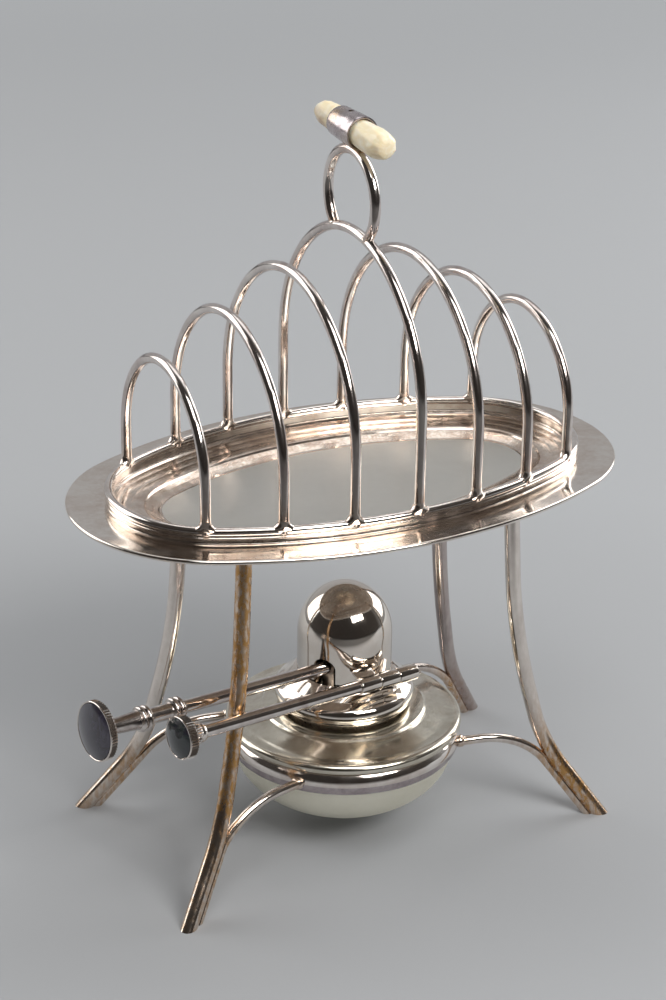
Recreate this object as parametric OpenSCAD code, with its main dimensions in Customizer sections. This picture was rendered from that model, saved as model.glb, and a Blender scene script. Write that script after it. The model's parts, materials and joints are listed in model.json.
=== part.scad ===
// Toast rack on a four-legged stand with a spirit burner under it.
// The origin is on the floor, midway between the tip of the winder's knob and
// the tray's far end. X runs along the row of hoops, Y across it and Z up.

/* [Rack] */
// Half length of the gallery rail, on its centre line
rail_a = 85; // [80:1:90]
// Half width of the gallery rail, on its centre line
rail_b = 48; // [45:0.5:50]
// Radius of the tight curve at each end of the rail
rail_end_r = 36.5; // [34:0.5:38]
// Height of the rail wire's centre above the floor
rail_z = 136.2; // [132:0.1:140]
// Diameter of the rail wire
rail_wire_d = 3; // [2.4:0.1:3.4]
// Distance between neighbouring hoops
hoop_pitch = 22.7; // [20:0.1:24]
// Heights of the hoops above the rail, from the middle one outwards
hoop_h = [82, 71.2, 60, 47];
// Diameter of the hoop wire
hoop_wire_d = 3.6; // [3:0.1:4]

/* [Tray] */
// Width of the flat rim outside the rail
rim_w = 14.4; // [12:0.1:16]
// Thickness of the tray sheet
tray_t = 1; // [0.8:0.1:1.4]
// How far the tray's floor lies below its rim
well_depth = 4.4; // [3:0.1:6]
// How far the tray's floor starts inside the rail
well_inset = 16.5; // [14:0.5:18]

/* [Handle] */
// Radius of the carrying ring, on its centre line
ring_r = 15.9; // [14:0.1:18]
// Diameter of the carrying ring's wire
ring_wire_d = 3.6; // [3:0.1:4]
// Length of the sleeve that holds the toggle
sleeve_len = 15; // [12:0.5:18]
// Largest diameter of the sleeve
sleeve_d = 11.6; // [10:0.1:13]
// Length of the bone toggle
toggle_len = 45; // [36:1:50]
// How far the toggle dips toward the front
toggle_tilt = 3.4; // [0:0.1:4]

/* [Legs] */
// Place of a leg's top, along X and Y from the middle
leg_top = [51, 24];
// Diameter of the leg tube
leg_d = 5.6; // [5:0.1:6.4]
// Direction in which the legs splay, from the X axis
leg_dir = 33.5; // [28:0.5:38]
// Lean of a leg's top, its middle and its foot from upright
leg_lean = [3.5, 15, 38];
// Diameter of the arms that carry the burner ring
arm_d = 3.3; // [2.8:0.1:3.8]

/* [Burner] */
// How far the burner is turned in its ring, so that its rods pass either side of a leg
burner_turn = 10; // [8:0.5:12]
// How far the two control rods rise toward their knobs
rod_rise = 4; // [2:0.5:5]
// Outside radius of the burner's rolled rim
roll_r = 41.9; // [40:0.1:42.5]
// Height of the support ring's top edge
seat_z = 37; // [35:0.1:38]
// Height of the underside of the reservoir
bowl_z = 5.7; // [5:0.1:8]
// Outside radius of the screw cap
cap_r = 24.8; // [23:0.1:25.5]
// Outside radius of the snuffer dome
dome_r = 16.7; // [15.5:0.1:17]
// Height of the snuffer dome's top
dome_top = 90.7; // [88:0.1:92]
// Diameter of the two control rods
rod_d = 4.6; // [4:0.1:4.8]

/* [Hidden] */
$fn = 72;
eps = 0.01;
rack_x = 4.25;          // the stand's centre, which puts the origin in the middle of the whole
bend_trim = 0.06;       // length by which a bend stops short of the bead at its end
joint_grow = 0.02;      // how far a joint slice of the gallery stands proud
bead_grow = 0.06;       // how far a bead on a wire stands proud
bead_len = 0.6;         // length of such a bead
run_gap = 0.05;         // running clearance of a shaft in its bore, on the radius
part_gap = 0.3;         // clearance between parts that move past each other

silver = [0.80, 0.76, 0.71];
tarnish = [0.62, 0.53, 0.46];
bone = [0.93, 0.87, 0.72];
stone = [0.06, 0.05, 0.07];

// The rail is a four-centred oval: two end arcs of rail_end_r and two long arcs.
oval_c = rail_a - rail_end_r;
oval_R = (oval_c*oval_c + rail_b*rail_b - rail_end_r*rail_end_r) / (2*(rail_b - rail_end_r));
oval_k = oval_R - rail_b;
oval_phi = atan2(oval_k, oval_c);

rim_z = rail_z - 3.9;                    // top of the tray's flat rim
floor_z = rim_z - well_depth;            // top of the tray's floor
leg_z = floor_z - tray_t;                // underside of the floor, where legs start

rod_r = rod_d/2;
hinge_y = -22.6;                         // snuffer hinge line
hinge_z = 62.2;
barrel_r = 2.9;                          // hinge barrel
winder_y = -6.8;                         // winder shaft line
winder_z = 63.5;
wick_y = 2.2;                            // the wick stands behind the cap's middle
wheel_r = 4.4;                           // winder wheel, over its teeth
cap_top = 58.6;                          // flat top of the screw cap
cap_low = 46.6;                          // lower edge of the screw cap
dome_low = 59;                           // lower edge of the snuffer dome
dome_t = 0.8;
sheet_t = 0.9;                           // sheet the reservoir is made of
tube_r = 5.5;                            // wick tube
tube_in = 4.9;
wick_r = 3.6;
knuckle_x = [-11.9, -3.5, -3.2, 13.2];   // moving barrel, then the fixed one
bowl_r = 39.2;                           // reservoir wall inside the support ring
bowl_edge_z = 29;                        // where that wall starts to curve in
neck_r = 20.6;                           // reservoir neck, over its thread

// Half width of the rail's oval at a given x
function rail_half(x) = abs(x) < oval_c + rail_end_r*cos(oval_phi)
    ? sqrt(oval_R*oval_R - x*x) - oval_k
    : sqrt(rail_end_r*rail_end_r - pow(abs(x) - oval_c, 2));

// Points of an arc, for outlines
function arc_pts(c, r, a0, a1, n) =
    [for (i = [0:n]) let(a = a0 + (a1 - a0)*i/n) c + r*[cos(a), sin(a)]];

// Sweeps a section round the oval; the section's x is the distance outside the rail line
module oval_sweep() {
    end_trim = bend_trim/rail_end_r*180/PI;
    for (s = [0, 180]) rotate(s) {
        translate([oval_c, 0, 0]) rotate(end_trim - oval_phi)
            rotate_extrude(angle = 2*oval_phi - 2*end_trim) translate([rail_end_r, 0]) children();
        translate([0, -oval_k, 0]) rotate(oval_phi)
            rotate_extrude(angle = 180 - 2*oval_phi) translate([oval_R, 0]) children();
    }
}

// Joins the four arcs of a sweep with a thin slice of a slightly larger section
module oval_joints() {
    for (s = [0, 180], m = [-1, 1]) rotate(s) translate([oval_c, 0, 0]) rotate(m*oval_phi)
        translate([rail_end_r, 0, 0]) rotate([90, 0, 0]) linear_extrude(0.4, center = true) children();
}

// Outline of the oval at a given distance from the rail line
function oval_pts(off) = concat(
    arc_pts([oval_c, 0], rail_end_r + off, -oval_phi, oval_phi, 10),
    arc_pts([0, -oval_k], oval_R + off, oval_phi + 2, 178 - oval_phi, 10),
    arc_pts([-oval_c, 0], rail_end_r + off, 180 - oval_phi, 180 + oval_phi, 10),
    arc_pts([0, oval_k], oval_R + off, 182 + oval_phi, 358 - oval_phi, 10));

// Round wire bent to radius r in the XY plane, from angle a0 to a1
module wire_arc(r, d, a0, a1) {
    trim = bend_trim/r*180/PI;
    rotate(a0 + trim) rotate_extrude(angle = a1 - a0 - 2*trim) translate([r, 0]) circle(d = d);
}

// Round wire from a to b in the XY plane
module wire_line(a, b, d) {
    v = b - a;
    translate([a[0], a[1], 0]) rotate(atan2(v[1], v[0])) rotate([0, 90, 0]) cylinder(d = d, h = norm(v));
}

// The bead that joins two lengths of wire at p, where the wire runs at angle a
module bead(p, a, d) {
    translate([p[0], p[1], 0]) rotate(a) rotate([0, 90, 0])
        cylinder(d = d + 2*bead_grow, h = bead_len, center = true);
}

// Rod or bore along X, from x0 to x1
module along_x(x0, x1, r) {
    translate([x0, 0, 0]) rotate([0, 90, 0]) cylinder(r = r, h = x1 - x0);
}

// Finishes, each of which also stands its part in its place
module plated() { color(silver) translate([rack_x, 0, 0]) children(); }
module tarnished() { color(tarnish) translate([rack_x, 0, 0]) children(); }
module coloured(c) { color(c) translate([rack_x, 0, 0]) children(); }

// The burner's own frames: its middle, the hinge line and the winder's line
module burner_frame() { rotate(burner_turn) children(); }
module hinge_line() { burner_frame() translate([0, hinge_y, hinge_z]) rotate([0, rod_rise, 0]) children(); }
module winder_line() { burner_frame() translate([0, winder_y, winder_z]) rotate([0, rod_rise, 0]) children(); }

// ---- tray and gallery ----

// Section of the tray: rim, coved well and the edge of the floor, grown by g all round
module tray_section(g = 0) {
    inner = -well_inset - 5 - g;
    top = [[rim_w - 0.7, 0], [-1.4, 0], [-3.6, -0.9], [-7, -1.7], [-11, -2.1], [-12, -2.8],
        [2 - well_inset, 0.5 - well_depth], [-well_inset, -well_depth], [inner, -well_depth]];
    n = len(top);
    polygon(concat(
        [for (p = top) [p[0], rim_z + p[1] + g]],
        [for (i = [n - 1:-1:0]) [top[i][0], rim_z + top[i][1] - tray_t - g]]));
    translate([rim_w - 0.75, rim_z - 0.5]) circle(r = 0.75 + g);
}

module tray() {
    plated() {
        oval_sweep() tray_section();
        oval_joints() tray_section(joint_grow);
        translate([0, 0, floor_z - tray_t]) linear_extrude(tray_t) polygon(oval_pts(-well_inset - 2));
    }
}

// Upright strip under the rail; the wire is let into its top
module lip_section(g = 0) {
    translate([-0.9 - g, rim_z]) square([1.8 + 2*g, rail_z - rim_z - 1.3]);
}

module gallery_lip() {
    plated() {
        oval_sweep() lip_section();
        oval_joints() lip_section(joint_grow);
    }
}

module gallery_rail() {
    plated() {
        oval_sweep() translate([0, rail_z]) circle(d = rail_wire_d);
        oval_joints() translate([0, rail_z]) circle(d = rail_wire_d + 2*joint_grow);
    }
}

// ---- hoops ----

// One hoop: two upright legs, two side arcs and a crown arc
module hoop(i) {
    x = i*hoop_pitch;
    half = rail_half(x);
    h = hoop_h[abs(i)];
    rise = 1.06*half;                    // height of the curved part
    crown = 0.9*half;                    // radius of the crown
    e = rise - crown;
    side = (e*e + half*half - crown*crown) / (2*(half - crown));
    turn = atan2(e, side - half);
    up = h - rise;
    plated() translate([x, 0, rail_z]) rotate([90, 0, 90]) {
        for (m = [0, 1]) mirror([m, 0, 0]) {
            wire_line([half, 0], [half, up], hoop_wire_d);
            bead([half, up], 90, hoop_wire_d);
            translate([half - side, up, 0]) wire_arc(side, hoop_wire_d, 0, turn);
            bead([half - side, up] + side*[cos(turn), sin(turn)], turn + 90, hoop_wire_d);
        }
        translate([0, up + e, 0]) wire_arc(crown, hoop_wire_d, turn, 180 - turn);
    }
}
module hoop_1() { hoop(-3); }
module hoop_2() { hoop(-2); }
module hoop_3() { hoop(-1); }
module hoop_4() { hoop(0); }
module hoop_5() { hoop(1); }
module hoop_6() { hoop(2); }
module hoop_7() { hoop(3); }

// ---- handle ----

sleeve_r = sleeve_d/2;
sleeve_in = 4.9;                         // radius of the sleeve's bore
hoop_top = rail_z + hoop_h[0];
crown_r = 0.9*rail_b;
handle_y = 0.6;                          // the ring stands a little behind the middle
ring_zc = hoop_top + 10.7;               // centre of the carrying ring
ring_open = 42.8;                        // half angle left open above the hoop
sleeve_z = ring_zc + ring_r + ring_wire_d/2 + sleeve_r - 0.7;
sleeve_y = 1.5;                          // the sleeve's middle
toggle_front = -23.8;                    // the toggle's front end, from the sleeve's middle
pin_at = 0.5;                            // the pin, likewise
pin_r = 0.8;

module handle_ring() {
    plated() translate([0, handle_y, ring_zc]) rotate([90, 0, 90])
        wire_arc(ring_r, ring_wire_d, ring_open - 90, 270 - ring_open);
}

// The toggle's line, from the sleeve's middle toward the toggle's back end
module toggle_line() { translate([0, sleeve_y, sleeve_z]) rotate([toggle_tilt - 90, 0, 0]) children(); }
module across_toggle(len) {
    translate([0, 0, pin_at]) rotate([90, 0, 0]) cylinder(r = pin_r, h = len, center = true);
}

module handle_sleeve() {
    tarnished() toggle_line() difference() {
        translate([0, 0, -sleeve_len/2]) cylinder(r1 = sleeve_r, r2 = sleeve_r - 0.6, h = sleeve_len);
        translate([0, 0, -sleeve_len]) cylinder(r = sleeve_in, h = 2*sleeve_len);
        across_toggle(20);
    }
}

module handle_pin() { tarnished() toggle_line() across_toggle(2*sleeve_in); }

// The toggle is widest at its front end and a little narrower at the back
module bone_toggle() {
    front = 5.0;
    back = 4.5;
    waist = sleeve_in - 0.05;
    coloured(bone) toggle_line() difference() {
        translate([0, 0, toggle_front]) rotate_extrude() polygon(concat(
            [[0, 0]],
            [for (a = [-75:15:0]) [front - 2.6 + 2.6*cos(a), 2.6 + 2.6*sin(a)]],
            [[waist, 16], [waist, 32.2]],
            [for (a = [0:15:75]) [(back - 3) + 3*cos(a), toggle_len - 3 + 3*sin(a)]],
            [[0, toggle_len]]));
        across_toggle(20);
    }
}

// ---- legs, arms and burner ring ----

leg_r1 = 230;                            // gentle bend below the tray
leg_r2 = 60;                             // tighter bend above the foot
leg_l1 = 32;                             // straight top
leg_l2 = 10;                             // straight between the bends
function down(a) = [sin(a), -cos(a)];
function inward(a) = [cos(a), sin(a)];
leg_p0 = [0, leg_z];
leg_p1 = leg_p0 + leg_l1*down(leg_lean[0]);
leg_c1 = leg_p1 + leg_r1*inward(leg_lean[0]);
leg_p2 = leg_c1 - leg_r1*inward(leg_lean[1]);
leg_p3 = leg_p2 + leg_l2*down(leg_lean[1]);
leg_c2 = leg_p3 + leg_r2*inward(leg_lean[1]);
leg_p4 = leg_c2 - leg_r2*inward(leg_lean[2]);
leg_l3 = (leg_p4[1] + 6)/cos(leg_lean[2]);
leg_p5 = leg_p4 + leg_l3*down(leg_lean[2]);

// Cuts away whatever is below the floor
module on_floor() {
    difference() {
        children();
        translate([-150, -150, -40]) cube([300, 300, 40]);
    }
}

module one_leg() {
    on_floor() translate([leg_top[0], leg_top[1], 0]) rotate(leg_dir) rotate([90, 0, 0]) {
        wire_line(leg_p0, leg_p1, leg_d);
        bead(leg_p1, leg_lean[0] - 90, leg_d);
        translate([leg_c1[0], leg_c1[1], 0]) wire_arc(leg_r1, leg_d, 180 + leg_lean[0], 180 + leg_lean[1]);
        bead(leg_p2, leg_lean[1] - 90, leg_d);
        wire_line(leg_p2, leg_p3, leg_d);
        bead(leg_p3, leg_lean[1] - 90, leg_d);
        translate([leg_c2[0], leg_c2[1], 0]) wire_arc(leg_r2, leg_d, 180 + leg_lean[1], 180 + leg_lean[2]);
        bead(leg_p4, leg_lean[2] - 90, leg_d);
        wire_line(leg_p4, leg_p5, leg_d);
    }
}

arm_z = 33.2;                            // height at which the arms leave the ring
arm_start = [32.5, 27.3];                // where an arm meets the ring
arm_dir = 11.6;                          // its direction there, from the X axis
arm_run = 7.5;                           // its level part
arm_bend = 31.5;                         // radius of the bend down to the foot
arm_fall = 90 - leg_lean[2];

// An arm leaves the ring level, bends down and runs along its leg to the floor
module one_arm() {
    bend_end = [arm_run + arm_bend*sin(arm_fall), arm_z - arm_bend*(1 - cos(arm_fall))];
    meet = [arm_start[0] + bend_end[0]*cos(arm_dir), arm_start[1] + bend_end[0]*sin(arm_dir), bend_end[1]];
    on_floor() {
        translate([arm_start[0], arm_start[1], 0]) rotate(arm_dir) rotate([90, 0, 0]) {
            wire_line([-0.6, arm_z], [arm_run, arm_z], arm_d);
            bead([arm_run, arm_z], 0, arm_d);
            translate([arm_run, arm_z - arm_bend, 0]) wire_arc(arm_bend, arm_d, 90 - arm_fall, 90);
        }
        translate(meet) rotate((arm_dir + leg_dir)/2) rotate([0, 180 - leg_lean[2], 0])
            cylinder(d = arm_d + 2*bead_grow, h = bead_len, center = true);
        translate(meet) rotate(leg_dir) rotate([0, 180 - leg_lean[2], 0])
            cylinder(d = arm_d, h = meet[2]/cos(leg_lean[2]) + 4);
    }
}

module leg_back_right() { tarnished() one_leg(); }
module leg_back_left() { tarnished() mirror([1, 0, 0]) one_leg(); }
module leg_front_right() { tarnished() mirror([0, 1, 0]) one_leg(); }
module leg_front_left() { tarnished() rotate(180) one_leg(); }
module arm_back_right() { tarnished() one_arm(); }
module arm_back_left() { tarnished() mirror([1, 0, 0]) one_arm(); }
module arm_front_right() { tarnished() mirror([0, 1, 0]) one_arm(); }
module arm_front_left() { tarnished() rotate(180) one_arm(); }

// Cones of solder under the tray, one round each leg's top
module leg_pads() {
    tarnished() for (x = [-1, 1], y = [-1, 1])
        translate([x*leg_top[0], y*leg_top[1], leg_z - 1.4]) cylinder(r1 = 3.4, r2 = 5.2, h = 1.4);
}

module burner_ring() {
    plated() rotate_extrude() intersection() {
        translate([bowl_r + part_gap, seat_z - 7.8]) square([2.3, 7.8]);
        translate([bowl_r - 9.2, seat_z - 3.1]) circle(r = 11.8);
    }
}

// ---- burner ----

// Half of the bowl's outline, set in by t: an upright band above an elliptical bottom
function bowl_pts(t) = concat(
    [[bowl_r - t, seat_z + 1.3]],
    [for (a = [0:10:80]) [(bowl_r - t)*cos(a), bowl_edge_z - (bowl_edge_z - bowl_z - t)*sin(a)]],
    [[0, bowl_z + t]]);

module reservoir_bowl() {
    outer = bowl_pts(0);
    inner = bowl_pts(sheet_t);
    n = len(inner);
    plated() burner_frame() rotate_extrude()
        polygon(concat(outer, [for (i = [n - 1:-1:0]) inner[i]]));
}

module reservoir_shoulder() {
    roll = 1.9;
    plated() burner_frame() rotate_extrude() difference() {
        union() {
            translate([roll_r - roll, seat_z + 0.2 + roll]) circle(r = roll);
            polygon([
                [roll_r - roll, seat_z + 1.4], [roll_r - roll, seat_z + 3.9], [29.4, seat_z + 6.6],
                [28.4, seat_z + 7.4], [neck_r, seat_z + 8.4], [neck_r, seat_z + 7.4],
                [28, seat_z + 6.4], [29, seat_z + 5.6], [38, seat_z + 3.2], [38, seat_z + 1.4]]);
        }
        square([bowl_r, seat_z + 1.3]);
    }
}

module reservoir_neck() {
    plated() burner_frame() translate([0, 0, seat_z + 7.4]) difference() {
        cylinder(r = neck_r, h = 8.4);
        translate([0, 0, -1]) cylinder(r = neck_r - 1.1, h = 11);
    }
}

module screw_cap() {
    edge = cap_r - 3.4;
    outer = concat(
        [[cap_r - 1.2, cap_low]],
        arc_pts([edge, cap_low + 3.6], 3.4, -45, 60, 7),
        [[17.3, cap_top], [0, cap_top]]);
    inner = [[0, cap_top - 1], [17, cap_top - 1], [neck_r, cap_low + 8], [neck_r, cap_low]];
    plated() burner_frame() difference() {
        rotate_extrude() polygon(concat(outer, inner));
        translate([0, wick_y, cap_top - 3]) cylinder(r = tube_r, h = 6);
    }
}

// Tube through the cap, slotted at the front for the winder wheel
module wick_tube() {
    low = 50;
    high = 72;
    tarnished() burner_frame() translate([0, wick_y, 0]) difference() {
        translate([0, 0, low]) cylinder(r = tube_r, h = high - low);
        translate([0, 0, low - 1]) cylinder(r = tube_in, h = high - low + 2);
        translate([-1.9, -6, low - 1]) cube([3.8, 3.2, high - low + 2]);
    }
}

// Two posts on the cap, in which the winder shaft turns
module winder_bearings() {
    post_w = 2;
    tarnished() difference() {
        for (x = [-12.6, 3.4]) {
            winder_line() along_x(x, x + post_w, 3.1);
            burner_frame() translate([x, winder_y - 3.1, cap_top]) cube([post_w, 6.2, winder_z - cap_top]);
        }
        winder_line() along_x(-20, 20, rod_r + run_gap);
    }
}

// Fixed half of the snuffer hinge: a barrel on a leaf that lies on the cap
module hinge_fixed() {
    leaf_x = [knuckle_x[2], 18.2];
    plated() difference() {
        union() {
            hinge_line() along_x(knuckle_x[2], knuckle_x[3], barrel_r);
            burner_frame() difference() {
                union() {
                    translate([leaf_x[0], hinge_y + 1, cap_top - 1])
                        cube([leaf_x[1] - leaf_x[0], 15, 1.2]);
                    translate([leaf_x[0], hinge_y + 0.6, cap_top - 1])
                        cube([knuckle_x[3] - leaf_x[0], 2, 3]);
                }
                translate([0, 0, cap_top - 5]) cylinder(r = 17.3, h = 20);
            }
        }
        hinge_line() along_x(-20, 30, rod_r + run_gap);
        // the line between the second and third knuckles
        hinge_line() difference() {
            along_x(4.8, 5.1, barrel_r + 1);
            along_x(4, 6, barrel_r - 0.3);
        }
    }
}

// ---- snuffer ----

module snuffer_dome() {
    crown_z = dome_top - dome_r - 1.8;   // where the wall starts to close in
    slot_y = winder_y - 0.35;
    slot_r = 3.75;
    function shell(t) = [for (a = [0:9:81])
        [(dome_r - t)*cos(a), crown_z + (dome_top - crown_z - t)*sin(a)]];
    plated() burner_frame() difference() {
        rotate_extrude() polygon([
            [dome_r - dome_t, dome_low], [dome_r, dome_low], each shell(0), [0, dome_top],
            [0, dome_top - dome_t], for (i = [9:-1:0]) shell(dome_t)[i]]);
        // the slot that lets the winder shaft out when the dome swings
        translate([-20, slot_y - slot_r, dome_low - 1]) cube([10, 2*slot_r, winder_z - dome_low + 2]);
        translate([-20, slot_y, winder_z + 1]) along_x(0, 10, slot_r);
    }
}

// Moving half of the hinge: a barrel with a tongue up to the dome
module snuffer_leaf() {
    plated() difference() {
        hinge_line() difference() {
            union() {
                along_x(knuckle_x[0], knuckle_x[1], barrel_r);
                translate([knuckle_x[0] + 0.2, 0, 0]) rotate([20, 0, 0]) translate([0, 0.4, 1.4])
                    cube([knuckle_x[1] - knuckle_x[0] - 0.4, 12, 1.1]);
            }
            along_x(-20, 20, rod_r);
        }
        burner_frame() translate([0, 0, cap_top]) cylinder(r = dome_r, h = 20);
    }
}

knob_1 = [-87.1, -83.3];                 // front and back face of the snuffer knob
knob_1_r = 7.3;
module snuffer_rod() { plated() hinge_line() along_x(knob_1[1], knuckle_x[3], rod_r); }

module snuffer_ferrule() {
    plated() hinge_line() difference() {
        translate([knob_1[1], 0, 0]) rotate([0, 90, 0]) cylinder(r1 = 4, r2 = 3, h = 6);
        along_x(knob_1[1] - 1, knob_1[1] + 8, rod_r);
    }
}

// A knurled knob: a ring with a bezel, a web behind the stone and fine ribs
module knob(x0, x1, r, ribs) {
    difference() {
        union() {
            along_x(x0 + 0.4, x1, r - 0.35);
            along_x(x0, x0 + 0.8, r);
            for (i = [0:ribs - 1]) rotate([i*360/ribs, 0, 0])
                translate([x0 + 1.2, -0.35, r - 0.9]) cube([x1 - x0 - 1.6, 0.7, 0.9]);
        }
        along_x(x0 - 1, x0 + 1.4, r - 0.9);
    }
}

// A polished cabochon set in its knob: a disc with a shallow dome on it
module cabochon(x0, r, bulge) {
    ball = (r*r + bulge*bulge) / (2*bulge);
    half = asin(r/ball);
    translate([x0, 0, 0]) rotate([0, 90, 0]) rotate_extrude() polygon(concat(
        [[0, 1.4], [0, -bulge]],
        [for (a = [half/8:half/8:half + eps]) [ball*sin(a), ball - bulge - ball*cos(a)]],
        [[r, 1.4]]));
}

module snuffer_knob() { plated() hinge_line() knob(knob_1[0], knob_1[1], knob_1_r, 30); }
module snuffer_stone() { coloured(stone) hinge_line() cabochon(knob_1[0], knob_1_r - 0.9, 1.4); }

// ---- wick winder ----

knob_2 = [-109.1, -106];                 // front and back face of the winder knob
knob_2_r = 10.1;
shank = [-106, -74];                     // turned shank behind the knob
ring_1 = -92.4;                          // where the two double mouldings start
ring_2 = -79.4;

module winder_rod() { plated() winder_line() along_x(shank[1], 6.2, rod_r); }

// Pair of rounded beads, starting at x0
module double_moulding(x0, r) {
    for (i = [0, 1]) translate([x0 + 2.1*i, 0, 0]) rotate([0, 90, 0]) rotate_extrude()
        polygon([[0, 0], [r - 1, 0], [r, 0.6], [r, 1.5], [r - 1, 2.1], [0, 2.1]]);
}

module winder_shank() {
    tarnished() winder_line() {
        along_x(shank[0], shank[0] + 1.4, 4);
        translate([shank[0] + 1.4, 0, 0]) rotate([0, 90, 0])
            cylinder(r1 = 2.7, r2 = 3.3, h = ring_1 - shank[0] - 1.4);
        double_moulding(ring_1, 4.4);
        along_x(ring_1 + 4.2, ring_2, 2.9);
        double_moulding(ring_2, 4.3);
        along_x(ring_2 + 4.2, shank[1], 3);
    }
}

module winder_knob() { plated() winder_line() knob(knob_2[0], knob_2[1], knob_2_r, 40); }
module winder_stone() { coloured(stone) winder_line() cabochon(knob_2[0], knob_2_r - 0.9, 1.7); }

// Toothed wheel that pushes the wick up and down
module winder_wheel() {
    teeth = 12;
    tarnished() winder_line() rotate([0, 90, 0]) translate([0, 0, -1.2]) linear_extrude(2.4)
        difference() {
            union() {
                circle(r = wheel_r - 0.9);
                for (i = [0:teeth - 1]) rotate(i*360/teeth)
                    polygon([[wheel_r - 1.2, -0.75], [wheel_r, -0.3], [wheel_r, 0.3], [wheel_r - 1.2, 0.75]]);
            }
            circle(r = rod_r);
        }
}

// ---- wick ----

wick_z = [14, 74];
module wick() {
    coloured("ivory") burner_frame() translate([0, wick_y, wick_z[0]])
        cylinder(r = wick_r, h = wick_z[1] - wick_z[0]);
}

// Thin toothed strip clasped on the wick, which the wheel drives
module wick_strip() {
    front = winder_y + wheel_r + part_gap;
    back = wick_y - sqrt(wick_r*wick_r - 1.5*1.5);
    pitch = 2.25;
    coloured("goldenrod") burner_frame() difference() {
        translate([-1.5, front, 24]) cube([3, back - front + 0.3, 47]);
        translate([0, wick_y, 20]) cylinder(r = wick_r, h = 60);
        for (i = [0:19]) translate([-0.9, front - 0.1, 26 + i*pitch]) cube([1.8, 0.35, 1.1]);
    }
}

tray();
gallery_lip();
gallery_rail();
hoop_1();
hoop_2();
hoop_3();
hoop_4();
hoop_5();
hoop_6();
hoop_7();
handle_ring();
handle_sleeve();
handle_pin();
bone_toggle();
leg_front_left();
leg_front_right();
leg_back_left();
leg_back_right();
arm_front_left();
arm_front_right();
arm_back_left();
arm_back_right();
leg_pads();
burner_ring();
reservoir_bowl();
reservoir_shoulder();
reservoir_neck();
screw_cap();
wick_tube();
winder_bearings();
hinge_fixed();
snuffer_dome();
snuffer_leaf();
snuffer_rod();
snuffer_ferrule();
snuffer_knob();
snuffer_stone();
winder_rod();
winder_shank();
winder_knob();
winder_stone();
winder_wheel();
wick();
wick_strip();
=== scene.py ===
import json
import math

import bmesh
import bpy
import numpy as np
from mathutils import Matrix, Vector, noise


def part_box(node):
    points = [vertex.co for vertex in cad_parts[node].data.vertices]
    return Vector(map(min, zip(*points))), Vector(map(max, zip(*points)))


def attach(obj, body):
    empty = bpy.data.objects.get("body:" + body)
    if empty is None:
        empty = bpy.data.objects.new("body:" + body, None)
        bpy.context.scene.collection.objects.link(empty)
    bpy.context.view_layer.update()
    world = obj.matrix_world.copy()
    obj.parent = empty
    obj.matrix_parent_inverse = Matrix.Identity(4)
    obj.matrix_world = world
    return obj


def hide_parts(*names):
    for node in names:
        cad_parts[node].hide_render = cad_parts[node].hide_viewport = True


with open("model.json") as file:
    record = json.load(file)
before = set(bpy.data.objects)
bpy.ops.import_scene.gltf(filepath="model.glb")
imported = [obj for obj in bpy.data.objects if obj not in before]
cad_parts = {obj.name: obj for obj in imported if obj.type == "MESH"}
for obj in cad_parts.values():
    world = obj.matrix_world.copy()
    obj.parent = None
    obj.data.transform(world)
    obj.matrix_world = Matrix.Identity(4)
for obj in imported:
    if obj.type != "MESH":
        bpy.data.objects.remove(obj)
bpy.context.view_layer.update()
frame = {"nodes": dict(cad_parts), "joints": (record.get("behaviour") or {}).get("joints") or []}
scene = bpy.context.scene
MM = 0.001

# ---------------------------------------------------------------- dimensions, mm
tray_lo, tray_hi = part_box("tray")
RACK_X = (tray_lo.x + tray_hi.x) / 2 / MM  # the stand's centre
RAIL_A, RAIL_B, END_R = 85.0, 48.0, 36.5
RAIL_Z, RAIL_R = 136.2, 1.5
RIM_Z, RIM_W = 132.3, 14.4
LEG_Z = 126.9  # the tray's underside
PITCH, HOOP_H, HOOP_R = 22.7, (82.0, 71.2, 60.0, 47.0), 1.8
OVAL_C = RAIL_A - END_R
OVAL_R = (OVAL_C**2 + RAIL_B**2 - END_R**2) / (2 * (RAIL_B - END_R))
OVAL_K = OVAL_R - RAIL_B
PHI = math.degrees(math.atan2(OVAL_K, OVAL_C))
TURN = math.radians(10)  # of the burner in its ring
SEAT_Z = 37.0  # top of the ring, where the rolled rim rests
BOWL_R, BOWL_Z, BOWL_EDGE, BOWL_T = 39.2, 5.7, 29.0, 0.9
NECK_R, NECK_BORE = 20.45, 19.5
CAP_R, CAP_TOP, CAP_LOW = 24.8, 58.6, 46.6
DOME_R, DOME_TOP, DOME_LOW, DOME_T = 16.7, 90.7, 59.0, 0.8
ROD_R, BARREL_R = 2.3, 2.9
HINGE_Y, WINDER_Y, WINDER_Z = -22.6, -6.8, 63.5
SNUFFER_END, SNUFFER_FACE = -83.3, -87.1  # along the hinge's axis: the knob's back and front
WINDER_END, SHANK_END, WINDER_FACE = -74.0, -106.0, -109.1  # along the winder's axis
LEG_TOP, LEG_R, LEG_DIR = (51.0, 24.0), 2.8, 33.5
LEG_LEAN, LEG_BENDS = (3.5, 15.0, 38.0), (230, 60)  # leans from the vertical, and the bends' radii

STAND = Matrix.Translation((RACK_X, 0, 0))
BURNER = STAND @ Matrix.Rotation(TURN, 4, "Z")
JOINTS = {j["name"]: j for j in frame["joints"]}


def line_frame(joint):
    """Matrix whose X runs along a hinge's axis, through its point, in mm."""
    x = Vector(JOINTS[joint]["axis"]).normalized()
    y = Vector((-math.sin(TURN), math.cos(TURN), 0))
    z = x.cross(y).normalized()
    m = Matrix((x, y, z)).transposed().to_4x4()
    m.translation = Vector(JOINTS[joint]["pos_m"]) / MM
    return m


HINGE = line_frame("snuffer_hinge")
WINDER = line_frame("winder_spin")
ALONG_X = Matrix.Rotation(math.pi / 2, 4, "Y")  # turns a lathe's axis onto X


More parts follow.
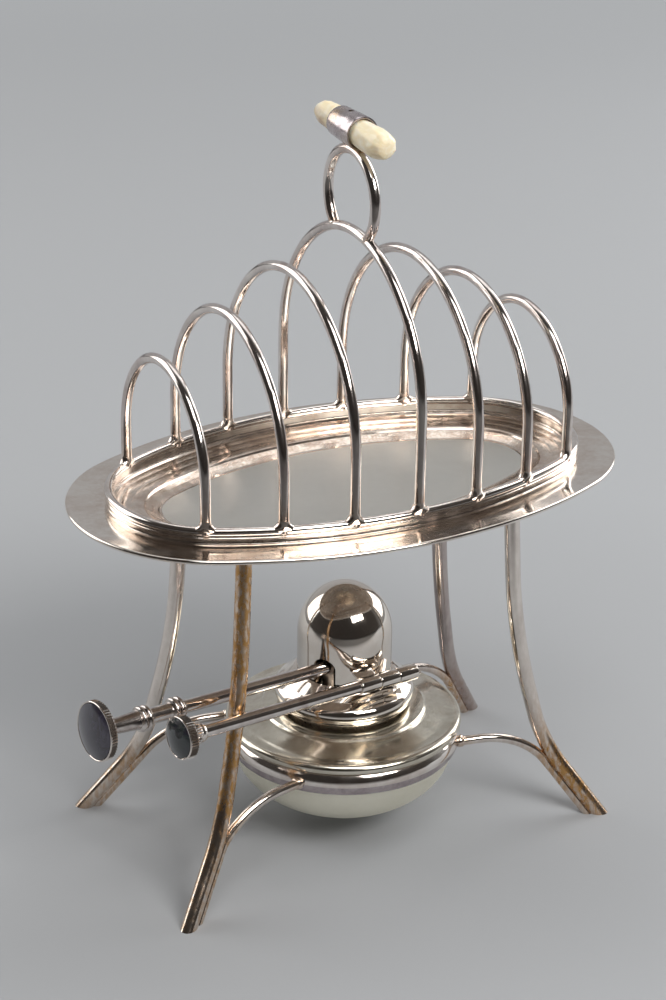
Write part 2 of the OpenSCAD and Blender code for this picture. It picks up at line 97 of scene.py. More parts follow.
# ---------------------------------------------------------------- materials
def node(nt, kind, **values):
    n = nt.nodes.new(kind)
    for k, v in values.items():
        setattr(n, k, v)
    return n


def ramp(nt, source, stops):
    r = node(nt, "ShaderNodeValToRGB")
    cr = r.color_ramp
    while len(cr.elements) < len(stops):
        cr.elements.new(0.5)
    for e, (pos, col) in zip(cr.elements, stops):
        e.position = pos
        e.color = (col, col, col, 1) if isinstance(col, (int, float)) else (*col, 1)
    nt.links.new(source, r.inputs[0])
    return r.outputs[0]


def noise_tex(nt, coords, scale, detail=3.0, rough=0.5, stretch=(1, 1, 1), distort=0.0):
    m = node(nt, "ShaderNodeMapping")
    m.inputs["Scale"].default_value = stretch
    nt.links.new(coords, m.inputs[0])
    n = node(nt, "ShaderNodeTexNoise")
    n.inputs["Scale"].default_value = scale
    n.inputs["Detail"].default_value = detail
    n.inputs["Roughness"].default_value = rough
    n.inputs["Distortion"].default_value = distort
    nt.links.new(m.outputs[0], n.inputs["Vector"])
    return n.outputs["Fac"]


def mix(nt, fac, a, b):
    m = node(nt, "ShaderNodeMix", data_type="RGBA")
    for socket, v in ((m.inputs[0], fac), (m.inputs[6], a), (m.inputs[7], b)):
        if isinstance(v, bpy.types.NodeSocket):
            nt.links.new(v, socket)
        elif isinstance(v, (int, float)):
            socket.default_value = v
        else:
            socket.default_value = (*v, 1)
    return m.outputs[2]


def math_node(nt, op, a, b, clamp=False):
    m = node(nt, "ShaderNodeMath", operation=op, use_clamp=clamp)
    for socket, v in ((m.inputs[0], a), (m.inputs[1], b)):
        if isinstance(v, bpy.types.NodeSocket):
            nt.links.new(v, socket)
        else:
            socket.default_value = v
    return m.outputs[0]


def times(nt, a, b, clamp=False):
    return math_node(nt, "MULTIPLY", a, b, clamp)


def plus(nt, a, b):
    return math_node(nt, "ADD", a, b)


def material(name):
    mat = bpy.data.materials.new(name)
    mat.use_nodes = True
    nt = mat.node_tree
    shader = nt.nodes["Principled BSDF"]
    coords = node(nt, "ShaderNodeTexCoord").outputs["Object"]
    return mat, nt, shader, coords


def bump(nt, shader, height, distance, strength=1.0):
    b = node(nt, "ShaderNodeBump")
    b.inputs["Strength"].default_value = strength
    b.inputs["Distance"].default_value = distance
    nt.links.new(height, b.inputs["Height"])
    nt.links.new(b.outputs[0], shader.inputs["Normal"])


def metal(name, bright, dull, amount, rough, patch=70.0, warm=(0.50, 0.30, 0.17), warm_gain=1.0,
          waves=0.00003, stretch=(1, 1, 1), uneven=0.8):
    """Worn plate: bright metal, duller patches, copper showing where it was soldered or rubbed."""
    mat, nt, sh, co = material(name)
    broad = noise_tex(nt, co, patch, 4, 0.6, stretch, 0.6)
    fine = noise_tex(nt, co, patch * 9, 3, 0.6, stretch)
    most, rest = times(nt, broad, 0.75), times(nt, fine, 0.25)
    both = plus(nt, most, rest)
    mask = ramp(nt, both, [(0.40, 0.0), (0.64, 1.0)])
    mask = times(nt, mask, amount)
    colour = mix(nt, mask, bright, dull)
    at = node(nt, "ShaderNodeAttribute", attribute_name="warm")
    speck = ramp(nt, fine, [(0.36, 0.25), (0.62, 1.0)])
    heat = times(nt, times(nt, at.outputs["Fac"], speck), warm_gain, True)
    colour = mix(nt, heat, colour, warm)
    nt.links.new(colour, sh.inputs["Base Color"])
    sh.inputs["Metallic"].default_value = 1.0
    smear = noise_tex(nt, co, patch * 2.3, 5, 0.65, (1, 1, 0.35))
    r = times(nt, ramp(nt, smear, [(0.35, 0.0), (0.7, 1.0)]), rough * uneven)
    r = plus(nt, r, rough * (1 - uneven / 2))
    r = plus(nt, r, times(nt, mask, 0.10))
    r = plus(nt, r, times(nt, heat, 0.16))
    nt.links.new(r, sh.inputs["Roughness"])
    long_wave = noise_tex(nt, co, 130, 1)
    scratch = noise_tex(nt, co, 2600, 2, 0.7, (1, 0.2, 1))
    h = plus(nt, long_wave, times(nt, scratch, 0.03))
    bump(nt, sh, h, waves)
    return mat


WIRE = metal("plate_wire", (0.77, 0.72, 0.68), (0.44, 0.35, 0.33), 0.7, 0.10, 90, waves=0.00004,
             stretch=(1, 1, 0.5))
RAIL = metal("plate_rail", (0.86, 0.81, 0.76), (0.55, 0.44, 0.38), 0.55, 0.10, 90, waves=0.00004)
COPPERY = metal("plate_worn_to_copper", (0.78, 0.70, 0.62), (0.52, 0.40, 0.33), 0.7, 0.14, 110)
RIM = metal("plate_rim", (0.84, 0.79, 0.73), (0.62, 0.51, 0.43), 0.6, 0.12, 60, waves=0.00005)
LEG = metal("plate_leg", (0.82, 0.76, 0.70), (0.44, 0.36, 0.33), 0.6, 0.11, 80, (0.55, 0.31, 0.12), 1.2,
            0.00005, (1, 1, 0.4))
# A darker copy of the leg plate, for the back right leg, which stands in shade behind the burner: painted
# shade.
LEG_PAINTED_SHADE = metal("plate_leg_painted_shade", (0.56, 0.49, 0.46), (0.30, 0.24, 0.24), 0.8, 0.16, 80,
                 (0.40, 0.25, 0.17), 0.8, 0.00005, (1, 1, 0.4))
# A darker, purplish copy of the plate, for the lower part of the burner ring: a painted dark reflection.
PURPLE_PAINTED_REFLECTION = metal("plate_purple_painted_reflection", (0.60, 0.54, 0.54), (0.34, 0.28, 0.30), 0.85, 0.16, 120,
               waves=0.00006)
SLEEVE = metal("plate_sleeve", (0.57, 0.51, 0.515), (0.30, 0.25, 0.268), 0.85, 0.22, 110,
               (0.62, 0.42, 0.20), 1.2, 0.00006)
SHANK = metal("plate_shank", (0.78, 0.74, 0.70), (0.36, 0.30, 0.28), 0.8, 0.13, 120, waves=0.00004)
DOME = metal("plate_dome", (0.81, 0.755, 0.69), (0.66, 0.56, 0.47), 0.5, 0.06, 60, waves=0.00001)
BOWL = metal("plate_bowl", (0.93, 0.90, 0.77), (0.84, 0.81, 0.68), 0.5, 0.42, 40, waves=0.000002,
             uneven=0.15)
SHOULDER = metal("plate_shoulder", (0.76, 0.72, 0.62), (0.50, 0.44, 0.35), 0.7, 0.17, 50, waves=0.00002)
SATIN = metal("plate_tray_floor", (0.64, 0.63, 0.59), (0.59, 0.575, 0.535), 0.5, 0.36, 30,
              warm_gain=0.0, waves=0.000002, uneven=0.12)
# Brown, worn plate: tarnish on the winder's bearings; on the tray's underside it is also painted shade,
# darker than the rim.
BROWN_TARNISH_AND_SHADE = metal("plate_tarnish_and_painted_shade", (0.52, 0.44, 0.37), (0.34, 0.27, 0.22), 0.7, 0.30, 50, waves=0.00003)
THREAD = metal("plate_thread", (0.70, 0.62, 0.55), (0.40, 0.32, 0.27), 0.8, 0.25, 120)


def bone_material():
    mat, nt, sh, co = material("bone_polished")
    broad = noise_tex(nt, co, 180, 4, 0.6, (1, 0.5, 1), 0.8)
    base = ramp(nt, broad, [(0.3, (0.93, 0.86, 0.71)), (0.5, (0.85, 0.73, 0.48)), (0.7, (0.95, 0.91, 0.79))])
    at = node(nt, "ShaderNodeAttribute", attribute_name="warm")
    blotch = ramp(nt, noise_tex(nt, co, 400, 4), [(0.3, 0.3), (0.6, 1.0)])
    stain = times(nt, at.outputs["Fac"], blotch, True)
    nt.links.new(mix(nt, stain, base, (0.36, 0.20, 0.09)), sh.inputs["Base Color"])
    pores = noise_tex(nt, co, 1500, 3, 0.6, (1, 0.25, 1))
    nt.links.new(plus(nt, times(nt, pores, 0.25), 0.22), sh.inputs["Roughness"])
    sh.inputs["Subsurface Weight"].default_value = 0.25
    sh.inputs["Subsurface Radius"].default_value = (0.002, 0.0014, 0.0008)
    sh.inputs["Subsurface Scale"].default_value = 1.0
    bump(nt, sh, pores, 0.00005)
    return mat


def stone_material(name, tint):
    mat, nt, sh, co = material(name)
    broad = noise_tex(nt, co, 160, 5, 0.6, (1, 1, 1), 1.4)
    base = ramp(nt, broad, [(0.32, (0.012, 0.010, 0.014)), (0.5, tint), (0.6, (0.02, 0.018, 0.028)),
                            (0.75, (0.05, 0.03, 0.035))])
    nt.links.new(base, sh.inputs["Base Color"])
    nt.links.new(plus(nt, times(nt, broad, 0.15), 0.05), sh.inputs["Roughness"])
    sh.inputs["Coat Weight"].default_value = 0.6
    sh.inputs["Coat Roughness"].default_value = 0.05
    bump(nt, sh, noise_tex(nt, co, 900, 2), 0.00001)
    return mat


def cotton_material():
    mat, nt, sh, co = material("cotton_wick")
    w = node(nt, "ShaderNodeTexWave", wave_type="BANDS", bands_direction="Z")
    w.inputs["Scale"].default_value = 420
    w.inputs["Distortion"].default_value = 2.5
    nt.links.new(co, w.inputs["Vector"])
    fibre = noise_tex(nt, co, 2200, 4, 0.7, (1, 1, 0.3))
    base = mix(nt, times(nt, w.outputs["Fac"], fibre), (0.58, 0.50, 0.36), (0.86, 0.81, 0.70))
    nt.links.new(base, sh.inputs["Base Color"])
    nt.links.new(plus(nt, times(nt, fibre, 0.2), 0.75), sh.inputs["Roughness"])
    bump(nt, sh, plus(nt, w.outputs["Fac"], fibre), 0.0002)
    return mat


BONE = bone_material()
STONE_A = stone_material("stone_smoky", (0.045, 0.040, 0.060))
STONE_B = stone_material("stone_green_black", (0.022, 0.030, 0.030))
COTTON = cotton_material()
BRASS = metal("brass_bare", (0.72, 0.56, 0.30), (0.42, 0.30, 0.15), 0.7, 0.25, 150)


# ---------------------------------------------------------------- geometry helpers
def cosd(a):
    return math.cos(math.radians(a))


def sind(a):
    return math.sin(math.radians(a))


def even(w):
    """The same warmth all over a piece."""
    return lambda co: np.full(len(co), w)


def warmth(co, points):
    """0 to 1 near each (x, y, z, reach, strength) point, in mm."""
    w = np.zeros(len(co))
    for x, y, z, reach, strength in points:
        d = np.linalg.norm(co - np.array((x, y, z)), axis=1)
        w += strength * np.exp(-((d / reach) ** 2))
    return np.clip(w, 0, 1)


def piece(name, verts, faces, mats, body, replaces=(), warm=None, index=None, sharp=38.0,
          frame_m=None):
    """Mesh object from mm points, riding on its body."""
    co = np.asarray(verts, float)
    if frame_m is not None:
        m = np.array(frame_m)
        co = co @ m[:3, :3].T + m[:3, 3]
    mesh = bpy.data.meshes.new(name)
    mesh.from_pydata([tuple(v) for v in co * MM], [], faces)
    for m in mats if isinstance(mats, (list, tuple)) else [mats]:
        mesh.materials.append(m)
    if index is not None:
        mesh.polygons.foreach_set("material_index", index)
    w = np.zeros(len(co)) if warm is None else (warm(co) if callable(warm) else warmth(co, warm))
    at = mesh.attributes.new("warm", "FLOAT", "POINT")
    at.data.foreach_set("value", w.astype(np.float32))
    bm = bmesh.new()
    bm.from_mesh(mesh)
    bmesh.ops.remove_doubles(bm, verts=bm.verts, dist=1e-6)
    bmesh.ops.dissolve_degenerate(bm, edges=bm.edges, dist=1e-7)
    bmesh.ops.recalc_face_normals(bm, faces=bm.faces)
    bm.to_mesh(mesh)
    bm.free()
    mesh.polygons.foreach_set("use_smooth", [True] * len(mesh.polygons))
    mesh.set_sharp_from_angle(angle=math.radians(sharp))
    ob = bpy.data.objects.new(name, mesh)
    scene.collection.objects.link(ob)
    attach(ob, body)
    if replaces:
        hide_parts(*replaces)
    return ob


def grid(rings, around=True, loop=False, caps=True):
    """Vertices and faces of a grid of rings: each closed if around, the last joined to the first if loop."""
    rings = np.asarray(rings, float)
    n, m = rings.shape[:2]
    verts = rings.reshape(-1, 3)
    faces = []
    for i in range(n if loop else n - 1):
        a, b = i * m, ((i + 1) % n) * m
        for j in range(m if around else m - 1):
            k = (j + 1) % m
            faces.append((a + j, a + k, b + k, b + j))
    if caps and around and not loop:
        faces.append(tuple(range(m - 1, -1, -1)))
        faces.append(tuple(range((n - 1) * m, n * m)))
    return verts, faces


def rounded(points, radius, steps=4, closed=True):
    """A polyline with its corners rounded; radius is one number or one per point."""
    pts = [np.array(p, float) for p in points]
    n = len(pts)
    out = []
    for i, p in enumerate(pts):
        r = radius[i] if isinstance(radius, (list, tuple)) else radius
        if (not closed and i in (0, n - 1)) or r <= 0:
            out.append(p)
            continue
        a, b = pts[i - 1] - p, pts[(i + 1) % n] - p
        la, lb = np.linalg.norm(a), np.linalg.norm(b)
        a, b = a / la, b / lb
        half = math.acos(max(-1, min(1, float(a @ b)))) / 2
        if half > 1.54:
            out.append(p)
            continue
        t = min(r / max(math.tan(half), 1e-6), 0.45 * la, 0.45 * lb)
        for k in range(steps + 1):
            u = k / steps
            out.append((1 - u) ** 2 * (p + a * t) + 2 * u * (1 - u) * p + u * u * (p + b * t))
    return out


def lathe(profile, segs=96, closed=True, wobble=None):
    """Turns an (r, z) outline round Z. Closed makes a hollow ring; open runs from axis to axis."""
    ang = np.arange(segs) * 2 * math.pi / segs
    rings = []
    for r, z in profile:
        r = max(r, 0.0)
        rr = np.full(segs, r) if wobble is None else np.array([wobble(r, z, a) for a in ang])
        rings.append(np.stack([rr * np.cos(ang), rr * np.sin(ang), np.full(segs, z)], 1))
    return grid(rings, True, closed, False)


def turned(name, profile, mat, body, frame_m, replaces=(), segs=96, closed=True, r=0.0, warm=None,
           steps=4, along=False, wobble=None):
    """A piece turned from a profile, its axis along Z, or along X if along."""
    p = rounded(profile, r, steps, closed) if r else profile
    v, f = lathe(p, segs, closed, wobble)
    m = frame_m @ ALONG_X if along else frame_m
    piece(name, v, f, mat, body, replaces, warm, frame_m=m)


def sweep(path, radius, segs=24, loop=False, caps=True):
    """Tube along a path; radius is a number or one per point."""
    path = np.asarray(path, float)
    n = len(path)
    tang = np.roll(path, -1, 0) - np.roll(path, 1, 0) if loop else np.gradient(path, axis=0)
    tang /= np.linalg.norm(tang, axis=1)[:, None]
    up = np.array((0, 0, 1.0)) if abs(tang[0][2]) < 0.9 else np.array((1.0, 0, 0))
    side = np.cross(tang[0], up)
    side /= np.linalg.norm(side)
    rad = np.full(n, radius) if np.isscalar(radius) else np.asarray(radius)
    ang = np.arange(segs) * 2 * math.pi / segs
    rings = []
    for i in range(n):
        side = side - tang[i] * (side @ tang[i])
        side /= np.linalg.norm(side)
        other = np.cross(tang[i], side)
        rings.append(path[i] + rad[i] * (np.cos(ang)[:, None] * side + np.sin(ang)[:, None] * other))
    return grid(rings, True, loop, caps)


def join(parts):
    """Several vertex and face lists as one."""
    verts, faces = [], []
    for v, f in parts:
        base = len(verts)
        verts.extend(np.asarray(v).tolist())
        faces.extend(tuple(i + base for i in q) for q in f)
    return np.array(verts), faces


def blob(centre, radii, direction=0.0, segs=20, rows=12, seed=0.0):
    """A small lump of solder: an ellipsoid turned about Z, slightly uneven."""
    rings = []
    c, s = math.cos(direction), math.sin(direction)
    for i in range(rows + 1):
        t = math.pi * i / rows
        ring = []
        for j in range(segs):
            a = 2 * math.pi * j / segs
            v = Vector((math.sin(t) * math.cos(a), math.sin(t) * math.sin(a), math.cos(t)))
            k = 1 + 0.10 * noise.noise(v * 1.7 + Vector((seed, 0, 0)))
            x, y, z = v.x * radii[0] * k, v.y * radii[1] * k, v.z * radii[2] * k
            ring.append((centre[0] + x * c - y * s, centre[1] + x * s + y * c, centre[2] + z))
        rings.append(ring)
    return grid(rings, True, False, False)


def oval(off=0.0, end_steps=44, long_steps=60):
    """Points round the oval at a distance outside the rail line, with their outward directions."""
    pts, nrm = [], []
    for cx, cy, r, a0, a1, n in (
        (OVAL_C, 0, END_R, -PHI, PHI, end_steps),
        (0, -OVAL_K, OVAL_R, PHI, 180 - PHI, long_steps),
        (-OVAL_C, 0, END_R, 180 - PHI, 180 + PHI, end_steps),
        (0, OVAL_K, OVAL_R, 180 + PHI, 360 - PHI, long_steps),
    ):
        for i in range(n):
            a = math.radians(a0 + (a1 - a0) * i / n)
            d = np.array((math.cos(a), math.sin(a)))
            pts.append(np.array((cx, cy)) + (r + off) * d)
            nrm.append(d)
    return np.array(pts), np.array(nrm)


OVAL_PTS, OVAL_NRM = oval()


def oval_rings(section, ripple=0.0):
    """Sweeps an (offset, z) section round the oval; ring k is section point k."""
    rings = []
    for off, z in section:
        xy = OVAL_PTS + off * OVAL_NRM
        zz = np.full(len(xy), float(z))
        if ripple:
            zz += [ripple * noise.noise(Vector((p[0] * 0.035, p[1] * 0.05, off * 0.04))) for p in xy]
        rings.append(np.column_stack([xy, zz]))
    return rings


def half_width(x):
    """Half the rail's width where it passes x."""
    x = abs(x)
    if x < OVAL_C + END_R * cosd(PHI):
        return math.sqrt(OVAL_R**2 - x * x) - OVAL_K
    return math.sqrt(END_R**2 - (x - OVAL_C) ** 2)


def rail_direction(x, side):
    """Angle of the rail where it passes x, on the side y > 0 (1) or y < 0 (-1)."""
    d = 0.05
    return math.atan2(side * (half_width(x + d) - half_width(x - d)), 2 * d)


def arc(centre, r, a0, a1, step=1.6):
    """Points of an arc in a plane, degrees."""
    n = max(4, int(abs(math.radians(a1 - a0)) * r / step))
    return [(centre[0] + r * cosd(a0 + (a1 - a0) * i / n),
             centre[1] + r * sind(a0 + (a1 - a0) * i / n)) for i in range(n + 1)]


def line(a, b, step=2.5):
    """Points of a straight length."""
    n = max(1, int(math.dist(a, b) / step))
    return [tuple(a[k] + (b[k] - a[k]) * i / n for k in range(len(a))) for i in range(n + 1)]


def path_of(*parts):
    """Runs of points joined into one path."""
    out = []
    for p in parts:
        for q in p:
            if not out or math.dist(out[-1], q) > 0.05:
                out.append(q)
    return out


def cut_at_floor(ob):
    """Cuts a piece's mesh flat at the floor."""
    bm = bmesh.new()
    bm.from_mesh(ob.data)
    bmesh.ops.bisect_plane(bm, geom=bm.verts[:] + bm.edges[:] + bm.faces[:], plane_co=(0, 0, 1e-6),
                           plane_no=(0, 0, 1), clear_inner=True)
    edges = [e for e in bm.edges if e.is_boundary]
    bmesh.ops.holes_fill(bm, edges=edges, sides=0)
    bm.to_mesh(ob.data)
    bm.free()
    ob.data.polygons.foreach_set("use_smooth", [True] * len(ob.data.polygons))
    ob.data.set_sharp_from_angle(angle=math.radians(38))


def keep_node(name, mat):
    """Gives a CAD node that stays visible its material."""
    ob = frame["nodes"][name]
    ob.data.materials.clear()
    ob.data.materials.append(mat)


# ---------------------------------------------------------------- tray and gallery
TRAY_T = 1.0
MAT_RIM, MAT_FLOOR, MAT_COVE, MAT_UNDER_SHADED = range(4)
top = rounded(
    [(RIM_W, 0.0), (13.2, 0.0), (9.0, -0.04), (1.3, 0.0), (0.0, 0.15), (-1.3, 0.0), (-2.0, -0.62),
     (-4.2, -1.32), (-7.5, -1.86), (-10.9, -2.02), (-11.7, -2.18), (-12.3, -2.85), (-14.0, -3.62),
     (-16.0, -4.22), (-16.9, -4.42), (-17.6, -4.36), (-19.0, -4.4)],
    [0, 0.5, 2, 1, 0.2, 0.4, 0.5, 1.5, 2, 0.8, 0.35, 0.5, 1, 0.8, 0.3, 0.4, 0], 4, False)
lip_edge = [(RIM_W - 0.79 + 0.75 * cosd(a), -0.5 + 0.75 * sind(a))
            for a in range(-130, 121, 14)]
under = [(o, z - TRAY_T) for o, z in reversed(top) if o < RIM_W - 1.5]
section = [(o, z) for o, z in under] + lip_edge + [(o, z) for o, z in top if o < RIM_W - 1.3]
section = [(o, RIM_Z + z) for o, z in section]
rings = oval_rings(section, 0.05)
floor_ring = rings[-1]
middle = [floor_ring * np.array((1 - k, 1 - k, 1)) for k in (0.12, 0.3, 0.5, 0.7, 0.88)]
low_middle = [rings[0] * np.array((1 - k, 1 - k, 1)) for k in (0.88, 0.7, 0.5, 0.3, 0.12)]
all_rings = low_middle + rings + middle
v, f = grid(all_rings, True, False, True)
m_per = len(OVAL_PTS)
n_rings = len(all_rings)
under_end = len(low_middle) + len(under)
# the underside's rings and cap take the brown plate: painted shade under the tray
index = []
for i in range(n_rings - 1):
    if i < under_end - 1:
        kind = MAT_UNDER_SHADED
    elif i >= n_rings - 7:
        kind = MAT_FLOOR
    else:
        off = section[i - len(low_middle)][0]
        kind = MAT_COVE if off < -1.0 and i > under_end else MAT_RIM
    index += [kind] * m_per
index += [MAT_UNDER_SHADED, MAT_FLOOR]


def tray_warm(co):
    """Copper shows in the cove, along the lip and in places on the rim."""
    x, y = co[:, 0] - RACK_X, co[:, 1]
    w = np.zeros(len(co))
    for p, q in zip(OVAL_PTS[::2], OVAL_NRM[::2]):
        for off, reach, strength in ((-13.6, 3.0, 0.35), (-4.0, 3.0, 0.18), (2.2, 2.6, 0.22)):
            c = p + off * q
            w = np.maximum(w, strength * np.exp(-(((x - c[0]) ** 2 + (y - c[1]) ** 2) / reach**2)))
    return w


piece("tray_sheet", v, f, [RIM, SATIN, COPPERY, BROWN_TARNISH_AND_SHADE], "stand", ["tray"], tray_warm, index,
      30, STAND)

lip = [(-1.5, RIM_Z), (1.5, RIM_Z), (1.05, RIM_Z + 0.22), (0.9, RIM_Z + 0.6), (0.9, RIM_Z + 1.5),
       (1.12, RIM_Z + 1.75), (1.12, RIM_Z + 2.05), (0.8, RIM_Z + 2.3), (0.8, RAIL_Z - 0.9),
       (-0.8, RAIL_Z - 0.9), (-0.8, RIM_Z + 2.3), (-0.9, RIM_Z + 0.6), (-1.05, RIM_Z + 0.22)]
v, f = grid(oval_rings(rounded(lip, 0.15, 3)), True, True, False)
piece("gallery_lip_strip", v, f, COPPERY, "stand", ["gallery_lip"], None, None, 38, STAND)

circle = [(RAIL_R * math.cos(a), RAIL_Z + RAIL_R * math.sin(a)) for a in np.arange(20) * 2 * math.pi / 20]
v, f = grid(oval_rings(circle, 0.03), True, True, False)
piece("gallery_rail_wire", v, f, RAIL, "stand", ["gallery_rail"], None, None, 60, STAND)

# ---------------------------------------------------------------- hoops
feet = []
for i in range(-3, 4):
    x = i * PITCH
    half = half_width(x)
    h = HOOP_H[abs(i)]
    rise, crown = 1.06 * half, 0.9 * half
    e = rise - crown
    side = (e * e + half * half - crown * crown) / (2 * (half - crown))
    turn = math.degrees(math.atan2(e, side - half))
    up = h - rise
    right = path_of(line((half, -0.6), (half, up)), arc((half - side, up), side, 0, turn),
                    arc((0, up + e), crown, turn, 90))
    flat = right + [(-p[0], p[1]) for p in reversed(right[:-1])]
    path = [(x, p[0], RAIL_Z + p[1]) for p in flat]
    gaps = [math.dist(path[k], path[k + 1]) for k in range(len(path) - 1)]
    length = np.concatenate([[0], np.cumsum(gaps)])
    rad = np.array([HOOP_R * (0.985 + 0.015 * math.sin(s * 0.11 + i * 1.7)) for s in length])
    v, f = sweep(path, rad, 24)
    ends = [(RACK_X + x, s * half, RAIL_Z + 2, 7.0, 0.55) for s in (-1, 1)]
    piece(f"hoop_wire_{i + 4}", v, f, WIRE, "stand", [f"hoop_{i + 4}"], ends, None, 60,
          STAND)
    for s in (-1, 1):
        feet.append((x, s * half, rail_direction(x, s)))

# solder at each foot: height over the rail, half length along it, half width across it
FILLET = [(4.3, 1.72, 1.72), (3.4, 1.82, 1.82), (2.6, 2.05, 1.9), (2.0, 2.5, 1.98), (1.5, 3.1, 1.98),
          (1.0, 3.7, 1.9), (0.4, 4.0, 1.75), (-0.4, 3.6, 1.5), (-1.2, 2.4, 1.1)]
parts = []
for x, y, d in feet:
    c, s = math.cos(d), math.sin(d)
    rings = []
    for h, a, b in FILLET:
        ring = []
        for j in range(28):
            t = 2 * math.pi * j / 28
            k = 1 + 0.05 * noise.noise(Vector((x * 0.7 + math.cos(t), y * 0.7 + math.sin(t), h)))
            u, w = a * k * math.cos(t), b * k * math.sin(t)
            ring.append((x + u * c - w * s, y + u * s + w * c, RAIL_Z + h))
        rings.append(ring)
    parts.append(grid(rings, True, False, True))
    for sgn in (-1, 1):
        u = sgn * (2.5 + 0.25 * math.sin(x + sgn))
        parts.append(blob((x + u * c, y + u * s, RAIL_Z + 1.25), (0.85, 0.75, 0.6), d, 14, 8, x + sgn))
v, f = join(parts)
piece("hoop_solder", v, f, RAIL, "stand", (), even(0.22), None, 50, STAND)

# ---------------------------------------------------------------- handle
RING_Y, RING_Z = 0.6, RAIL_Z + HOOP_H[0] + 10.7
RING_R, RING_WIRE, RING_OPEN = 15.9, 1.8, 42.8  # its ends stop at an angle from straight down
ring_arc = arc((0, 0), RING_R, RING_OPEN - 90, 270 - RING_OPEN, 1.0)
ring_path = [(0, RING_Y + y, RING_Z + z) for y, z in ring_arc]
v, f = sweep(ring_path, RING_WIRE, 24)
ends = [(RACK_X, RING_Y + s * RING_R * sind(RING_OPEN),
         RING_Z - RING_R * cosd(RING_OPEN), 5.0, 0.6) for s in (-1, 1)]
ends.append((RACK_X, RING_Y, RING_Z + RING_R, 8, 0.35))
piece("handle_ring_wire", v, f, WIRE, "stand", ["handle_ring"], ends, None, 60, STAND)
parts = []
for s in (-1, 1):
    y = RING_Y + s * RING_R * sind(RING_OPEN)
    z = RING_Z - RING_R * cosd(RING_OPEN)
    parts.append(blob((0, y + 0.2 * s, z + 0.1), (1.95, 2.6, 1.5), 0, 24, 14, s))
    parts.append(blob((0.9, y + 1.2 * s, z + 0.6), (0.9, 1.1, 0.7), 0, 16, 10, s + 4))
v, f = join(parts)
piece("handle_solder", v, f, RAIL, "stand", (), even(0.3), None, 50, STAND)

lo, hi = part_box("handle_pin")
pin_at = (lo + hi) / 2 / MM
SLEEVE_R, SLEEVE_L, SLEEVE_T, PIN_R, PIN_HALF, PIN_HOLE = 5.8, 15.0, 0.6, 0.8, 4.9, 0.95
TOGGLE_TILT, TOGGLE_FRONT, PIN_OFFSET = 3.4, -23.8, 0.5
TOGGLE_PIN = Matrix.Translation(pin_at) @ Matrix.Rotation(math.radians(TOGGLE_TILT - 90), 4, "X")
TOGGLE = TOGGLE_PIN @ Matrix.Translation((0, 0, -PIN_OFFSET))  # Z runs along the toggle, toward the back


def dents(r, z, a):
    """Shallow dents in the sleeve's outside."""
    if r < 5.0:
        return r
    return r - 0.16 * max(0, noise.noise(Vector((math.cos(a) * 1.3, math.sin(a) * 1.3, z * 0.16)))) - 0.02


wall = [(SLEEVE_R - SLEEVE_T * k / 14, SLEEVE_L * k / 14) for k in range(1, 14)]
prof = [(4.95, 0.15), (5.2, 0.0), (SLEEVE_R - 0.1, 0.0)] + wall
prof += [(SLEEVE_R - 0.65, SLEEVE_L), (5.0, SLEEVE_L), (4.92, SLEEVE_L - 0.3), (4.92, 0.4)]
v, f = lathe(rounded(prof, 0.1, 2), 72, True, dents)
gold = [(RACK_X - 2, -6, pin_at.z - 4, 4, 0.5), (RACK_X, -3, pin_at.z - 6, 4, 0.8),
        (RACK_X - 4, 6, pin_at.z + 4, 3, 0.6)]
sleeve = piece("handle_sleeve_tube", v, f, SLEEVE, "stand", ["handle_sleeve"], gold, None,
               38, TOGGLE @ Matrix.Translation((0, 0, -SLEEVE_L / 2)))
across = TOGGLE_PIN @ Matrix.Rotation(math.pi / 2, 4, "X")
turned("handle_pin_rivet", [(0, -PIN_HALF), (PIN_R - 0.03, 0.05 - PIN_HALF), (PIN_R - 0.03, PIN_HALF - 0.75),
                            (PIN_R - 0.3, PIN_HALF - 0.5), (0, PIN_HALF - 0.45)],
       THREAD, "stand", across, ["handle_pin"], 24, False)


def placed(vf, m):
    """Vertices and faces moved by a matrix."""
    v, f = vf
    a = np.array(m)
    return np.asarray(v) @ a[:3, :3].T + a[:3, 3], f


hole = [(0, -12), (PIN_HOLE, -12), (PIN_HOLE, 12), (0, 12)]
cutter_v, cutter_f = placed(lathe(hole, 24, False), across)
cutter_mesh = bpy.data.meshes.new("pin_hole")
cutter_mesh.from_pydata([tuple(p) for p in cutter_v * MM], [], cutter_f)


def carve(ob, cutter_mesh, sharp=38.0):
    """Cuts cutter_mesh, in metres, out of a piece."""
    bm = bmesh.new()
    bm.from_mesh(cutter_mesh)
    bmesh.ops.remove_doubles(bm, verts=bm.verts, dist=1e-7)
    bmesh.ops.recalc_face_normals(bm, faces=bm.faces)
    bm.to_mesh(cutter_mesh)
    bm.free()
    cutter = bpy.data.objects.new("cutter", cutter_mesh)
    scene.collection.objects.link(cutter)
    mod = ob.modifiers.new("cut", "BOOLEAN")
    mod.operation = "DIFFERENCE"
    mod.solver = "EXACT"
    mod.object = cutter
    bpy.context.view_layer.update()
    ev = ob.evaluated_get(bpy.context.evaluated_depsgraph_get())
    done = bpy.data.meshes.new_from_object(ev)
    ob.modifiers.clear()
    ob.data = done
    bpy.data.objects.remove(cutter)
    done.set_sharp_from_angle(angle=math.radians(sharp))


carve(sleeve, cutter_mesh)

profile = [(0.0, 0.0), (2.0, 0.1), (3.3, 0.6), (4.2, 1.6), (4.7, 3.0), (4.95, 4.9), (4.98, 7.4), (4.9, 10),
           (4.8, 13), (4.65, 15.2), (4.55, 16.2), (4.55, 31.4), (4.6, 32.4), (4.5, 35), (4.35, 38),
           (4.15, 40.2), (3.75, 42.2), (3.0, 43.9), (1.8, 44.8), (0.0, 45.0)]
profile = rounded(profile, 1.2, 3, False)


